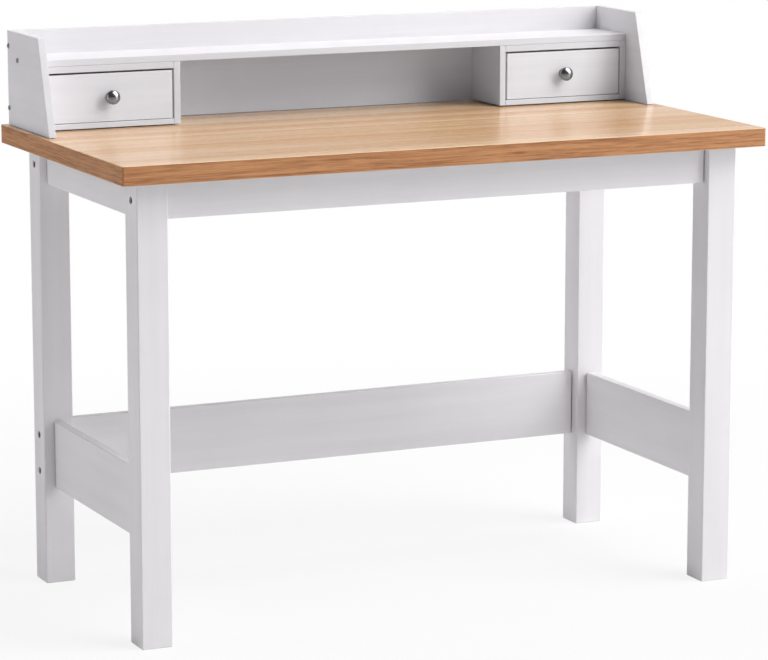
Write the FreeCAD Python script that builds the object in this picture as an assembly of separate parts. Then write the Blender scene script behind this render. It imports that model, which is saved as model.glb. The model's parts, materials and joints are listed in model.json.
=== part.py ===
import FreeCAD, Part
import math
import os
from FreeCAD import Vector

# A student desk: a worktop on a frame of four legs and bolted rails, with a low hutch on
# its rear edge that holds a shelf, an open cubby and two drawers. Lengths are millimetres.
# The origin is on the floor under the middle of the worktop; the front faces -Y, up is +Z.

# Worktop
worktop_width = 1100.0
worktop_depth = 560.0
worktop_thick = 30.0
worktop_height = 750.0
worktop_edge_radius = 1.0

# Legs, set in from the edges of the worktop
leg_side = 50.0
leg_inset_side = 35.0
leg_inset_front = 35.0
leg_inset_rear = 35.0
leg_edge_radius = 1.5

# Rails: aprons under the worktop, stretchers near the floor
apron_height = 60.0
apron_thick = 25.0
stretcher_height = 110.0
stretcher_thick = 15.0
stretcher_lift = 160.0
rail_edge_radius = 1.5

# Frame bolts run through a leg, along X, into a barrel nut set in the rail
bolt_diameter = 6.0
bolt_head_diameter = 11.0
bolt_head_height = 6.0
bolt_head_recess = 2.0
bolt_key_size = 5.0
bolt_key_depth = 3.0
bolt_key_corners = 6
bolt_tail = 8.0
bolt_hole_clearance = 0.3
bolt_head_clearance = 0.5
nut_diameter = 10.0
nut_length = 12.0
nut_setback = 30.0
nut_clearance = 0.1
nut_slot_width = 1.2
nut_slot_depth = 1.0
bolt_tip_gap = 1.0
stretcher_bolt_margin = 25.0

# Dowels at the ends of the rails
dowel_diameter = 8.0
dowel_embed = 15.0
dowel_margin = 15.0
dowel_radial_gap = 0.05
dowel_end_gap = 1.0
dowel_chamfer = 0.5

# Angle brackets between the aprons and the worktop
bracket_reach = 20.0
bracket_width = 16.0
bracket_thick = 2.0
bracket_hole_reach = 12.0
bracket_spacing_long = 500.0
bracket_spacing_short = 200.0

# Screws: shank diameters, heads and the air round them
screw_diameter = 3.5
screw_head_diameter = 7.0
pan_head_height = 2.0
screw_radial_gap = 0.05
screw_tip_gap = 0.5
bracket_screw_length = 15.0
cross_slot_width = 1.0
cross_slot_depth = 1.0
cross_slot_share = 0.55

# Hutch, standing on the worktop
hutch_inset_side = 10.0
hutch_inset_rear = 12.0
hutch_height = 153.0
side_thick = 12.0
side_depth_top = 149.0
side_depth_base = 196.0
back_thick = 11.0
shelf_thick = 11.0
shelf_level = 114.0
shelf_depth = 106.0
board_edge_radius = 0.6
radius_limit = 0.4

# Drawer carcasses, one at each end of the hutch under the shelf
carcass_width = 240.0
carcass_thick = 11.0

# Hutch fasteners
dome_head_diameter = 9.0
dome_head_height = 2.8
dome_screw_grip = 28.0
back_screw_margin_top = 25.0
back_screw_margin_base = 28.0
shelf_screw_setback = 39.0
panel_screw_grip = 19.0
panel_screw_spacing = 350.0
panel_screw_margin = 25.0
base_screw_diameter = 4.0
base_screw_head_diameter = 8.0
base_screw_grip = 30.0
base_screw_margin = 35.0
carcass_screw_margin = 25.0
carcass_screw_grip = 8.0
small_dowel_diameter = 6.0
small_dowel_embed = 7.0
small_dowel_reach = 15.0
small_dowel_margin = 20.0

# Drawers
drawer_gap_side = 2.0
drawer_gap_top = 2.0
drawer_gap_base = 0.8
drawer_gap_rear = 4.0
drawer_front_thick = 12.0
drawer_side_thick = 9.0
drawer_side_height = 62.0
drawer_bottom_thick = 3.0
drawer_bottom_lift = 6.0
groove_depth = 4.0
groove_clearance = 0.2
front_dowel_diameter = 5.0
front_dowel_embed = 8.0
front_dowel_reach = 16.0
drawer_fixing_low = 20.0
drawer_fixing_high = 48.0
drawer_screw_diameter = 3.0
drawer_screw_head_diameter = 6.0
drawer_screw_grip = 16.0

# Knobs
knob_diameter = 23.0
knob_projection = 20.0
knob_base_diameter = 13.0
knob_base_height = 2.0
knob_neck_diameter = 9.0
knob_neck_height = 11.0
knob_rim_thick = 3.0
knob_screw_diameter = 4.0
knob_screw_grip = 9.0
knob_hole_gap = 0.3

# Levels and planes that several pieces share
leg_top = worktop_height - worktop_thick
apron_bottom = leg_top - apron_height
apron_middle = leg_top - apron_height / 2
leg_outer_x = worktop_width / 2 - leg_inset_side
leg_inner_x = leg_outer_x - leg_side
leg_middle_x = leg_outer_x - leg_side / 2
leg_front_y = -worktop_depth / 2 + leg_inset_front
leg_rear_y = worktop_depth / 2 - leg_inset_rear
front_row_y = leg_front_y + leg_side / 2
rear_row_y = leg_rear_y - leg_side / 2
stretcher_bolt_levels = (
    stretcher_lift + stretcher_bolt_margin,
    stretcher_lift + stretcher_height - stretcher_bolt_margin,
)
apron_dowel_levels = (apron_bottom + dowel_margin, leg_top - dowel_margin)
stretcher_dowel_levels = (
    stretcher_lift + dowel_margin,
    stretcher_lift + stretcher_height - dowel_margin,
)
side_outer_x = worktop_width / 2 - hutch_inset_side
side_inner_x = side_outer_x - side_thick
hutch_rear_y = worktop_depth / 2 - hutch_inset_rear
back_front_y = hutch_rear_y - back_thick
back_middle_y = hutch_rear_y - back_thick / 2
shelf_front_y = back_front_y - shelf_depth
shelf_top = worktop_height + shelf_level
shelf_underside = shelf_top - shelf_thick
shelf_middle = shelf_top - shelf_thick / 2
hutch_top = worktop_height + hutch_height
cubby_x = side_inner_x - carcass_width
bay_inner_x = cubby_x + carcass_thick
bay_outer_x = side_inner_x - carcass_thick
bay_middle_x = (bay_inner_x + bay_outer_x) / 2
bay_floor = worktop_height + carcass_thick
bay_ceiling = shelf_underside - carcass_thick
bay_middle_z = (bay_floor + bay_ceiling) / 2
box_inner_x = bay_inner_x + drawer_gap_side
box_outer_x = bay_outer_x - drawer_gap_side
box_front_y = shelf_front_y + drawer_front_thick
box_rear_y = back_front_y - drawer_gap_rear
box_back_y = box_rear_y - drawer_side_thick
drawer_fixing_levels = (bay_floor + drawer_fixing_low, bay_floor + drawer_fixing_high)

AXES = {"x": Vector(1, 0, 0), "y": Vector(0, 1, 0), "z": Vector(0, 0, 1)}
SIDES = {"left": -1, "right": 1}


def block(x0, x1, y0, y1, z0, z1):
    """A box between two X, two Y and two Z planes, each pair in any order."""
    low = Vector(min(x0, x1), min(y0, y1), min(z0, z1))
    return Part.makeBox(abs(x1 - x0), abs(y1 - y0), abs(z1 - z0), low)


def board(x0, x1, y0, y1, z0, z1, radius):
    """A box whose edges are all rounded, up to a share of its thinnest side."""
    solid = block(x0, x1, y0, y1, z0, z1)
    thinnest = min(abs(x1 - x0), abs(y1 - y0), abs(z1 - z0))
    return solid.makeFillet(min(radius, thinnest * radius_limit), solid.Edges)


def rod(diameter, point, axis, length):
    """A cylinder that starts at a point; a negative length runs against the axis."""
    direction = AXES[axis] * math.copysign(1, length)
    return Part.makeCylinder(diameter / 2, abs(length), Vector(*point), direction)


def cone(wide, narrow, point, axis, length):
    """A cone that narrows from its start; a negative length runs against the axis."""
    direction = AXES[axis] * math.copysign(1, length)
    return Part.makeCone(wide / 2, narrow / 2, abs(length), Vector(*point), direction)


def moved(point, axis, distance):
    """A point moved along an axis."""
    return tuple(Vector(*point) + AXES[axis] * distance)


def cut(solid, tools):
    """A solid less each of the tools."""
    for tool in tools:
        solid = solid.cut(tool)
    return solid


def save(name, *solids):
    """Writes one node, a single solid or a group of separate ones."""
    shape = solids[0] if len(solids) == 1 else Part.makeCompound(list(solids))
    shape.exportStep(f"parts/{name}.step")


# Fasteners: each kind has the piece and the hole that it fits

def cross_slot(point, axis, way, head_diameter, depth):
    """The cross recess in a screw head: two blades crossing at its centre."""
    size = head_diameter * cross_slot_share
    across = [name for name in AXES if name != axis]
    blades = []
    for long_axis in across:
        spans = {}
        for name, middle in zip(AXES, point):
            half = size / 2 if name == long_axis else cross_slot_width / 2
            spans[name] = (middle - half, middle + half)
        start = point["xyz".index(axis)]
        spans[axis] = (start, start + way * depth)
        blades.append(block(*spans["x"], *spans["y"], *spans["z"]))
    return blades[0].fuse(blades[1])


def sunk_screw(point, axis, length, diameter, head_diameter):
    """A countersunk screw whose flat head is flush at the point."""
    way = math.copysign(1, length)
    head_height = (head_diameter - diameter) / 2
    head = cone(head_diameter, diameter, point, axis, way * head_height)
    body = head.fuse(rod(diameter, point, axis, length))
    depth = min(cross_slot_depth, head_height)
    return body.cut(cross_slot(point, axis, way, head_diameter, depth))


def sunk_hole(point, axis, length, diameter, head_diameter):
    """The hole of a countersunk screw, a little wider and deeper than the screw."""
    way = math.copysign(1, length)
    wide = head_diameter + 2 * screw_radial_gap
    narrow = diameter + 2 * screw_radial_gap
    flare = cone(wide, narrow, point, axis, way * (wide - narrow) / 2)
    return flare.fuse(rod(narrow, point, axis, length + way * screw_tip_gap))


def pan_screw(seat, axis, length, diameter, head_diameter, head_height):
    """A flat-headed screw whose head stands on the seat; length is below the head."""
    way = math.copysign(1, length)
    head = rod(head_diameter, seat, axis, -way * head_height)
    body = head.fuse(rod(diameter, seat, axis, length))
    top = moved(seat, axis, -way * head_height)
    return body.cut(cross_slot(top, axis, way, head_diameter, cross_slot_depth))


def dome_screw(seat, axis, length):
    """A screw with a domed head that stands proud of the seat."""
    way = math.copysign(1, length)
    half = dome_head_diameter / 2
    radius = (half ** 2 + dome_head_height ** 2) / (2 * dome_head_height)
    sunk = radius - dome_head_height
    centre = Vector(*moved(seat, axis, way * sunk))
    rim = math.degrees(math.asin(sunk / radius))
    head = Part.makeSphere(radius, centre, AXES[axis] * -way, rim, 90, 360)
    body = head.fuse(rod(screw_diameter, seat, axis, length))
    top = moved(seat, axis, -way * dome_head_height)
    return body.cut(cross_slot(top, axis, way, dome_head_diameter, cross_slot_depth))


def plain_hole(point, axis, length, diameter, gap, end_gap):
    """A round hole for a pin or screw of the diameter given."""
    way = math.copysign(1, length)
    return rod(diameter + 2 * gap, point, axis, length + way * end_gap)


def pilot_hole(point, axis, length, diameter=screw_diameter):
    """The hole that a screw bites in."""
    return plain_hole(point, axis, length, diameter, screw_radial_gap, screw_tip_gap)


def dowel(start, axis, length, diameter):
    """A wooden dowel, its ends lightly chamfered."""
    pin = rod(diameter, start, axis, length)
    rims = [edge for edge in pin.Edges if edge.Closed]
    return pin.makeChamfer(dowel_chamfer, rims)


def dowel_hole(middle, axis, length, diameter):
    """The blind hole of one end of a dowel, from the joint's plane inwards."""
    return plain_hole(middle, axis, length, diameter, dowel_radial_gap, dowel_end_gap)


# Where the frame's bolts and dowels lie

def bolt_sites(side):
    """(row_y, level) of each bolt through the legs of one side."""
    sites = [(front_row_y, apron_middle), (rear_row_y, apron_middle)]
    sites += [(rear_row_y, level) for level in stretcher_bolt_levels]
    return [(side, row, level) for row, level in sites]


def bolt_seat(side):
    """X of the shoulder that a bolt's head bears on."""
    return side * (leg_outer_x - bolt_head_recess - bolt_head_height)


def bolt_axis_length():
    """From the shoulder under the head to the bolt's tip."""
    shoulder = bolt_head_recess + bolt_head_height
    return leg_side - shoulder + nut_setback + bolt_tail


def frame_bolt(side, row, level):
    """A socket-head bolt; its axis runs inwards along X."""
    seat = (bolt_seat(side), row, level)
    head = rod(bolt_head_diameter, seat, "x", side * bolt_head_height)
    body = head.fuse(rod(bolt_diameter, seat, "x", -side * bolt_axis_length()))
    corner_radius = bolt_key_size / math.sqrt(3)
    outer_x = bolt_seat(side) + side * bolt_head_height
    ring = []
    for corner in range(bolt_key_corners + 1):
        turn = 2 * math.pi * corner / bolt_key_corners
        offset = Vector(0, corner_radius * math.cos(turn), corner_radius * math.sin(turn))
        ring.append(Vector(outer_x, row, level) + offset)
    key = Part.Face(Part.makePolygon(ring)).extrude(Vector(-side * bolt_key_depth, 0, 0))
    return body.cut(key)


def leg_bolt_hole(side, row, level):
    """The stepped hole through a leg: a wide pocket for the head, then the shank's bore."""
    face = (side * leg_outer_x, row, level)
    pocket = bolt_head_recess + bolt_head_height
    wide = rod(bolt_head_diameter + 2 * bolt_head_clearance, face, "x", -side * pocket)
    bore = bolt_diameter + 2 * bolt_hole_clearance
    return wide.fuse(rod(bore, face, "x", -side * leg_side))


def rail_bolt_hole(side, row, level, rail_thick):
    """The shank's bore in a rail's end, with the barrel nut's hole from the rear face."""
    end = (side * leg_inner_x, row, level)
    bore = bolt_diameter + 2 * bolt_hole_clearance
    shank = rod(bore, end, "x", -side * (nut_setback + bolt_tail + bolt_tip_gap))
    blind_end = (side * (leg_inner_x - nut_setback), row - nut_length / 2, level)
    depth = (rail_thick + nut_length) / 2
    return shank.fuse(rod(nut_diameter + 2 * nut_clearance, blind_end, "y", depth))


def barrel_nut(side, row, level):
    """A barrel nut across a rail, with the bolt's hole and a slot in its rear end."""
    x = side * (leg_inner_x - nut_setback)
    barrel = rod(nut_diameter, (x, row - nut_length / 2, level), "y", nut_length)
    hole_diameter = bolt_diameter + 2 * screw_radial_gap
    hole = rod(hole_diameter, (x - nut_diameter, row, level), "x", 2 * nut_diameter)
    open_y = row + nut_length / 2
    slot = block(
        x - nut_diameter, x + nut_diameter, open_y - nut_slot_depth, open_y,
        level - nut_slot_width / 2, level + nut_slot_width / 2,
    )
    return cut(barrel, [hole, slot])


def rail_dowel_sites():
    """(axis, joint point, way from the leg into the rail) of every dowel of the frame."""
    sites = []
    for side in SIDES.values():
        for row in (front_row_y, rear_row_y):
            for level in apron_dowel_levels:
                sites.append(("x", (side * leg_inner_x, row, level), -side))
        for joint, way in ((leg_front_y + leg_side, 1), (leg_rear_y - leg_side, -1)):
            for level in apron_dowel_levels + stretcher_dowel_levels:
                sites.append(("y", (side * leg_middle_x, joint, level), way))
    return sites


def rail_dowel(axis, joint, way):
    """One dowel, half in the leg and half in the rail."""
    start = moved(joint, axis, -way * dowel_embed)
    return dowel(start, axis, way * 2 * dowel_embed, dowel_diameter)


def rail_dowel_holes():
    """Both blind holes of every dowel of the frame."""
    holes = []
    for axis, joint, way in rail_dowel_sites():
        for into in (way, -way):
            holes.append(dowel_hole(joint, axis, into * dowel_embed, dowel_diameter))
    return holes


# Angle brackets under the worktop

def bracket_sites():
    """(point on the apron's inner face, inward axis, inward way) of each bracket."""
    sites = []
    for row, way in ((front_row_y, 1), (rear_row_y, -1)):
        for x in (-bracket_spacing_long / 2, bracket_spacing_long / 2):
            sites.append(((x, row + way * apron_thick / 2, leg_top), "y", way))
    for side in SIDES.values():
        for y in (-bracket_spacing_short / 2, bracket_spacing_short / 2):
            sites.append(((side * (leg_middle_x - apron_thick / 2), y, leg_top), "x", -side))
    return sites


def bracket_screw_seats(corner, axis, way):
    """(seat, axis, length) of the screw into the apron and the one into the worktop."""
    low = moved(corner, "z", -bracket_hole_reach)
    far = moved(corner, axis, way * bracket_hole_reach)
    return (
        (moved(low, axis, way * bracket_thick), axis, -way * bracket_screw_length),
        (moved(far, "z", -bracket_thick), "z", bracket_screw_length),
    )


def angle_bracket(corner, axis, way):
    """A bent strip: one leg down the apron, one under the worktop, a hole in each."""
    x, y, z = corner
    half = bracket_width / 2
    reach = way * bracket_reach
    thick = way * bracket_thick
    if axis == "y":
        upright = block(x - half, x + half, y, y + thick, z - bracket_reach, z)
        flat = block(x - half, x + half, y, y + reach, z - bracket_thick, z)
    else:
        upright = block(x, x + thick, y - half, y + half, z - bracket_reach, z)
        flat = block(x, x + reach, y - half, y + half, z - bracket_thick, z)
    holes = []
    for seat, hole_axis, length in bracket_screw_seats(corner, axis, way):
        strip = math.copysign(bracket_thick, length)
        diameter = screw_diameter + 2 * bolt_hole_clearance
        holes.append(rod(diameter, seat, hole_axis, strip))
    return cut(upright.fuse(flat), holes).removeSplitter()


def bracket_screws():
    """Every bracket's two screws."""
    screws = []
    for site in bracket_sites():
        for seat, axis, length in bracket_screw_seats(*site):
            screw = pan_screw(
                seat, axis, length, screw_diameter, screw_head_diameter, pan_head_height
            )
            screws.append(screw)
    return screws


def bracket_pilot_holes():
    """The pilot holes that the bracket screws need in the aprons and the worktop."""
    return [
        pilot_hole(seat, axis, length)
        for site in bracket_sites()
        for seat, axis, length in bracket_screw_seats(*site)
    ]


# Hutch fasteners

def base_screw_sites():
    """Screws up through the worktop into each side panel's lower edge."""
    front = hutch_rear_y - side_depth_base + base_screw_margin
    rear = hutch_rear_y - base_screw_margin
    x = side_outer_x - side_thick / 2
    return [(side * x, y, leg_top) for side in SIDES.values() for y in (front, rear)]


def dome_screw_sites(side):
    """Screws through a side panel: two into the back panel and one into the shelf."""
    x = side * side_outer_x
    return [
        (x, back_middle_y, hutch_top - back_screw_margin_top),
        (x, back_middle_y, worktop_height + back_screw_margin_base),
        (x, back_front_y - shelf_screw_setback, shelf_middle),
    ]


def dome_screw_length():
    """From the outer face of a side panel to the screw's tip."""
    return side_thick + dome_screw_grip


def panel_screw_sites():
    """Screws forward through the back panel, into the shelf and the inner carcass sides."""
    sites = [(x, hutch_rear_y, shelf_middle)
             for x in (-panel_screw_spacing, 0, panel_screw_spacing)]
    for side in SIDES.values():
        x = side * (cubby_x + carcass_thick / 2)
        for level in (worktop_height + panel_screw_margin, shelf_underside - panel_screw_margin):
            sites.append((x, hutch_rear_y, level))
    return sites


def panel_screw_length():
    """From the rear face of the back panel to the screw's tip."""
    return back_thick + panel_screw_grip


def carcass_screw_sites(side):
    """(point, axis, way) of the screws from inside a bay into the side panel and shelf."""
    rows = (shelf_front_y + carcass_screw_margin, back_front_y - carcass_screw_margin)
    sites = [((side * bay_outer_x, y, bay_middle_z), "x", side) for y in rows]
    sites += [((side * bay_middle_x, y, bay_ceiling), "z", 1) for y in rows]
    return sites


def carcass_screw_length():
    """From the inside of a bay to the screw's tip."""
    return carcass_thick + carcass_screw_grip


def carcass_dowel_sites(side):
    """(joint point, way from the side board into the board between) of each dowel."""
    rows = (shelf_front_y + small_dowel_margin, back_front_y - small_dowel_margin)
    levels = (worktop_height + carcass_thick / 2, shelf_underside - carcass_thick / 2)
    joints = ((side * bay_inner_x, side), (side * bay_outer_x, -side))
    return [((x, y, z), way) for x, way in joints for y in rows for z in levels]


def shelf_dowel_site(side):
    """The dowel between a side panel and the front of the shelf's end."""
    return (side * side_inner_x, shelf_front_y + small_dowel_margin, shelf_middle), -side


def hutch_dowel_sites():
    """Every small dowel of the hutch."""
    sites = []
    for side in SIDES.values():
        sites.append(shelf_dowel_site(side))
        sites += carcass_dowel_sites(side)
    return sites


def hutch_dowel(joint, way):
    """One small dowel across a joint."""
    start = moved(joint, "x", -way * small_dowel_embed)
    return dowel(start, "x", way * (small_dowel_embed + small_dowel_reach), small_dowel_diameter)


def hutch_holes():
    """Every hole that the hutch's fasteners need, for all of its boards."""
    holes = []
    for joint, way in hutch_dowel_sites():
        holes.append(dowel_hole(joint, "x", -way * small_dowel_embed, small_dowel_diameter))
        holes.append(dowel_hole(joint, "x", way * small_dowel_reach, small_dowel_diameter))
    for side in SIDES.values():
        for seat in dome_screw_sites(side):
            holes.append(pilot_hole(seat, "x", -side * dome_screw_length()))
        for point, axis, way in carcass_screw_sites(side):
            length = way * carcass_screw_length()
            holes.append(sunk_hole(point, axis, length, screw_diameter, screw_head_diameter))
    for point in panel_screw_sites():
        length = -panel_screw_length()
        holes.append(sunk_hole(point, "y", length, screw_diameter, screw_head_diameter))
    return holes


def base_screw_holes():
    """The holes up through the worktop and into the side panels."""
    length = worktop_thick + base_screw_grip
    return [
        sunk_hole(point, "z", length, base_screw_diameter, base_screw_head_diameter)
        for point in base_screw_sites()
    ]


def near(solid, tools):
    """The tools whose boxes meet the solid's box, so that no cut is made in vain."""
    return [tool for tool in tools if solid.BoundBox.intersect(tool.BoundBox)]


# Desk pieces

def worktop():
    """The top board, with the holes of the brackets and of the hutch's base screws."""
    solid = board(
        -worktop_width / 2, worktop_width / 2, -worktop_depth / 2, worktop_depth / 2,
        leg_top, worktop_height, worktop_edge_radius,
    )
    return cut(solid, near(solid, bracket_pilot_holes() + base_screw_holes()))


def leg(side, front_y):
    """One leg, its four long edges and its foot rounded."""
    solid = board(
        side * leg_inner_x, side * leg_outer_x, front_y, front_y + leg_side,
        0, leg_top, leg_edge_radius,
    )
    holes = rail_dowel_holes() + [leg_bolt_hole(*site) for site in bolt_sites(side)]
    return cut(solid, near(solid, holes))


def long_rail(row, thick, low, high, bolt_levels):
    """A rail along X between two legs, bored at both ends for its bolts and nuts."""
    solid = board(
        -leg_inner_x, leg_inner_x, row - thick / 2, row + thick / 2, low, high,
        rail_edge_radius,
    )
    holes = rail_dowel_holes() + bracket_pilot_holes()
    for side in SIDES.values():
        for level in bolt_levels:
            holes.append(rail_bolt_hole(side, row, level, thick))
    return cut(solid, near(solid, holes))


def side_rail(side, thick, low, high):
    """A rail along Y between the front and rear leg of one side."""
    solid = board(
        side * (leg_middle_x - thick / 2), side * (leg_middle_x + thick / 2),
        leg_front_y + leg_side, leg_rear_y - leg_side, low, high, rail_edge_radius,
    )
    return cut(solid, near(solid, rail_dowel_holes() + bracket_pilot_holes()))


# Hutch pieces

def hutch_side(side):
    """An end panel whose front edge slopes back towards the top."""
    x = side * side_inner_x
    outline = [
        Vector(x, hutch_rear_y - side_depth_base, worktop_height),
        Vector(x, hutch_rear_y, worktop_height),
        Vector(x, hutch_rear_y, hutch_top),
        Vector(x, hutch_rear_y - side_depth_top, hutch_top),
    ]
    face = Part.Face(Part.makePolygon(outline + outline[:1]))
    solid = face.extrude(Vector(side * side_thick, 0, 0))
    solid = solid.makeFillet(board_edge_radius, solid.Edges)
    return cut(solid, near(solid, hutch_holes() + base_screw_holes()))


def hutch_board(x0, x1, y0, y1, z0, z1):
    """Any square-edged board of the hutch, with the fasteners' holes that meet it."""
    solid = board(x0, x1, y0, y1, z0, z1, board_edge_radius)
    return cut(solid, near(solid, hutch_holes()))


def build_carcass(name, side):
    """The four boards round one drawer bay."""
    inner, bay_in = side * cubby_x, side * bay_inner_x
    bay_out, outer = side * bay_outer_x, side * side_inner_x
    depth = (shelf_front_y, back_front_y)
    base, top = worktop_height, shelf_underside
    save(f"carcass_{name}_inner_side", hutch_board(inner, bay_in, *depth, base, top))
    save(f"carcass_{name}_outer_side", hutch_board(bay_out, outer, *depth, base, top))
    save(f"carcass_{name}_bottom", hutch_board(bay_in, bay_out, *depth, base, bay_floor))
    save(f"carcass_{name}_top", hutch_board(bay_in, bay_out, *depth, bay_ceiling, top))


# Drawer pieces

def drawer_side_planes(side):
    """(outer X, inner X, way inwards) of a drawer's two sides."""
    return (
        (side * box_inner_x, side * (box_inner_x + drawer_side_thick), side),
        (side * box_outer_x, side * (box_outer_x - drawer_side_thick), -side),
    )


def groove():
    """Levels of the groove that the drawer's bottom slides in."""
    low = bay_floor + drawer_bottom_lift
    return low, low + drawer_bottom_thick + groove_clearance


def groove_space(side):
    """The bottom panel's groove, cut all round the inside of the drawer."""
    (_, left, _), (_, right, _) = drawer_side_planes(side)
    way = side * groove_depth
    return block(
        left - way, right + way,
        box_front_y - groove_depth, box_back_y + groove_depth, *groove(),
    )


def drawer_bottom(side):
    """The thin panel, short of the grooves' ends by a small clearance."""
    (_, left, _), (_, right, _) = drawer_side_planes(side)
    reach = groove_depth - groove_clearance
    low = bay_floor + drawer_bottom_lift
    return block(
        left - side * reach, right + side * reach,
        box_front_y - reach, box_back_y + reach, low, low + drawer_bottom_thick,
    )


def front_dowel_sites(side):
    """Joint points of the dowels between a drawer's front and its sides."""
    sites = []
    for outer, inner, _ in drawer_side_planes(side):
        for level in drawer_fixing_levels:
            sites.append(((outer + inner) / 2, box_front_y, level))
    return sites


def front_dowel(point):
    """One dowel across the joint of the front and a side."""
    start = moved(point, "y", -front_dowel_embed)
    return dowel(start, "y", front_dowel_embed + front_dowel_reach, front_dowel_diameter)


def front_dowel_holes(side):
    """The blind holes of the front's dowels, in the front and in the sides."""
    holes = []
    for point in front_dowel_sites(side):
        for length in (-front_dowel_embed, front_dowel_reach):
            holes.append(dowel_hole(point, "y", length, front_dowel_diameter))
    return holes


def drawer_screw_sites(side):
    """(point, way) of the screws through a drawer's sides into its back."""
    y = box_rear_y - drawer_side_thick / 2
    return [
        ((outer, y, level), way)
        for outer, _, way in drawer_side_planes(side)
        for level in drawer_fixing_levels
    ]


def drawer_screw(point, way, make):
    """One of those screws, or its hole, as the maker function given."""
    length = way * (drawer_side_thick + drawer_screw_grip)
    return make(point, "x", length, drawer_screw_diameter, drawer_screw_head_diameter)


def knob_face(side):
    """The middle of the drawer front's outer face, where the knob stands."""
    return (side * bay_middle_x, shelf_front_y, bay_middle_z)


def knob_screw_length():
    """From under the screw's head, inside the drawer, to its tip in the knob."""
    return drawer_front_thick + knob_screw_grip


def knob_profile():
    """Half of the knob's outline in the XY plane: foot, waisted neck, rim and dome."""
    foot, neck, wide = (
        size / 2 for size in (knob_base_diameter, knob_neck_diameter, knob_diameter)
    )
    waist = (knob_base_height + knob_neck_height) / 2
    rim = knob_neck_height + knob_rim_thick
    sag = knob_projection - rim
    dome_radius = (wide ** 2 + sag ** 2) / (2 * sag)
    half_angle = math.asin(wide / dome_radius) / 2
    dome_rise = dome_radius * (1 - math.cos(half_angle))
    centre = Vector(0, 0, 0)
    base = Vector(foot, 0, 0)
    base_top = Vector(foot, -knob_base_height, 0)
    waist_point = Vector(neck, -waist, 0)
    halfway = math.radians(45)
    flare_out = (wide - neck) * (1 - math.cos(halfway))
    flare_up = (knob_neck_height - waist) * math.sin(halfway)
    flare = Vector(neck + flare_out, -(waist + flare_up), 0)
    rim_low = Vector(wide, -knob_neck_height, 0)
    rim_high = Vector(wide, -rim, 0)
    dome = Vector(dome_radius * math.sin(half_angle), -(knob_projection - dome_rise), 0)
    crown = Vector(0, -knob_projection, 0)
    pieces = [
        Part.LineSegment(centre, base),
        Part.LineSegment(base, base_top),
        Part.LineSegment(base_top, waist_point),
        Part.Arc(waist_point, flare, rim_low),
        Part.LineSegment(rim_low, rim_high),
        Part.Arc(rim_high, dome, crown),
        Part.LineSegment(crown, centre),
    ]
    return Part.Face(Part.Wire([piece.toShape() for piece in pieces]))


def knob(side):
    """A turned knob, bored from behind for its screw."""
    face = knob_face(side)
    solid = knob_profile().revolve(Vector(0, 0, 0), AXES["y"], 360)
    solid.translate(Vector(*face))
    return solid.cut(pilot_hole(face, "y", -knob_screw_grip, knob_screw_diameter))


def drawer_front(side):
    """The front, grooved for the bottom and bored for the dowels and the knob's screw."""
    solid = board(
        side * box_inner_x, side * box_outer_x, shelf_front_y, box_front_y,
        bay_floor + drawer_gap_base, bay_ceiling - drawer_gap_top, board_edge_radius,
    )
    hole = rod(
        knob_screw_diameter + 2 * knob_hole_gap, knob_face(side), "y", drawer_front_thick
    )
    return cut(solid, [groove_space(side), hole] + front_dowel_holes(side))


def drawer_box_side(side, outer, inner):
    """One side of the drawer, from its front to its rear edge."""
    solid = block(
        outer, inner, box_front_y, box_rear_y, bay_floor, bay_floor + drawer_side_height
    )
    holes = [drawer_screw(*site, sunk_hole) for site in drawer_screw_sites(side)]
    holes += front_dowel_holes(side) + [groove_space(side)]
    return cut(solid, near(solid, holes))


def drawer_back(side):
    """The back, between the two sides."""
    (_, left, _), (_, right, _) = drawer_side_planes(side)
    solid = block(left, right, box_back_y, box_rear_y, bay_floor, bay_floor + drawer_side_height)
    holes = [drawer_screw(*site, sunk_hole) for site in drawer_screw_sites(side)]
    return cut(solid, near(solid, holes + [groove_space(side)]))


def build_drawer(name, side):
    """All the pieces of one drawer."""
    prefix = f"drawer_{name}"
    inner_planes, outer_planes = drawer_side_planes(side)
    save(f"{prefix}_front", drawer_front(side))
    save(f"{prefix}_inner_side", drawer_box_side(side, *inner_planes[:2]))
    save(f"{prefix}_outer_side", drawer_box_side(side, *outer_planes[:2]))
    save(f"{prefix}_back", drawer_back(side))
    save(f"{prefix}_bottom", drawer_bottom(side))
    save(f"{prefix}_dowels", *[front_dowel(point) for point in front_dowel_sites(side)])
    screws = [drawer_screw(*site, sunk_screw) for site in drawer_screw_sites(side)]
    save(f"{prefix}_screws", *screws)
    save(f"{prefix}_knob", knob(side))
    seat = moved(knob_face(side), "y", drawer_front_thick)
    knob_screw = pan_screw(
        seat, "y", -knob_screw_length(),
        knob_screw_diameter, screw_head_diameter, pan_head_height,
    )
    save(f"{prefix}_knob_screw", knob_screw)


# Assembly

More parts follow.
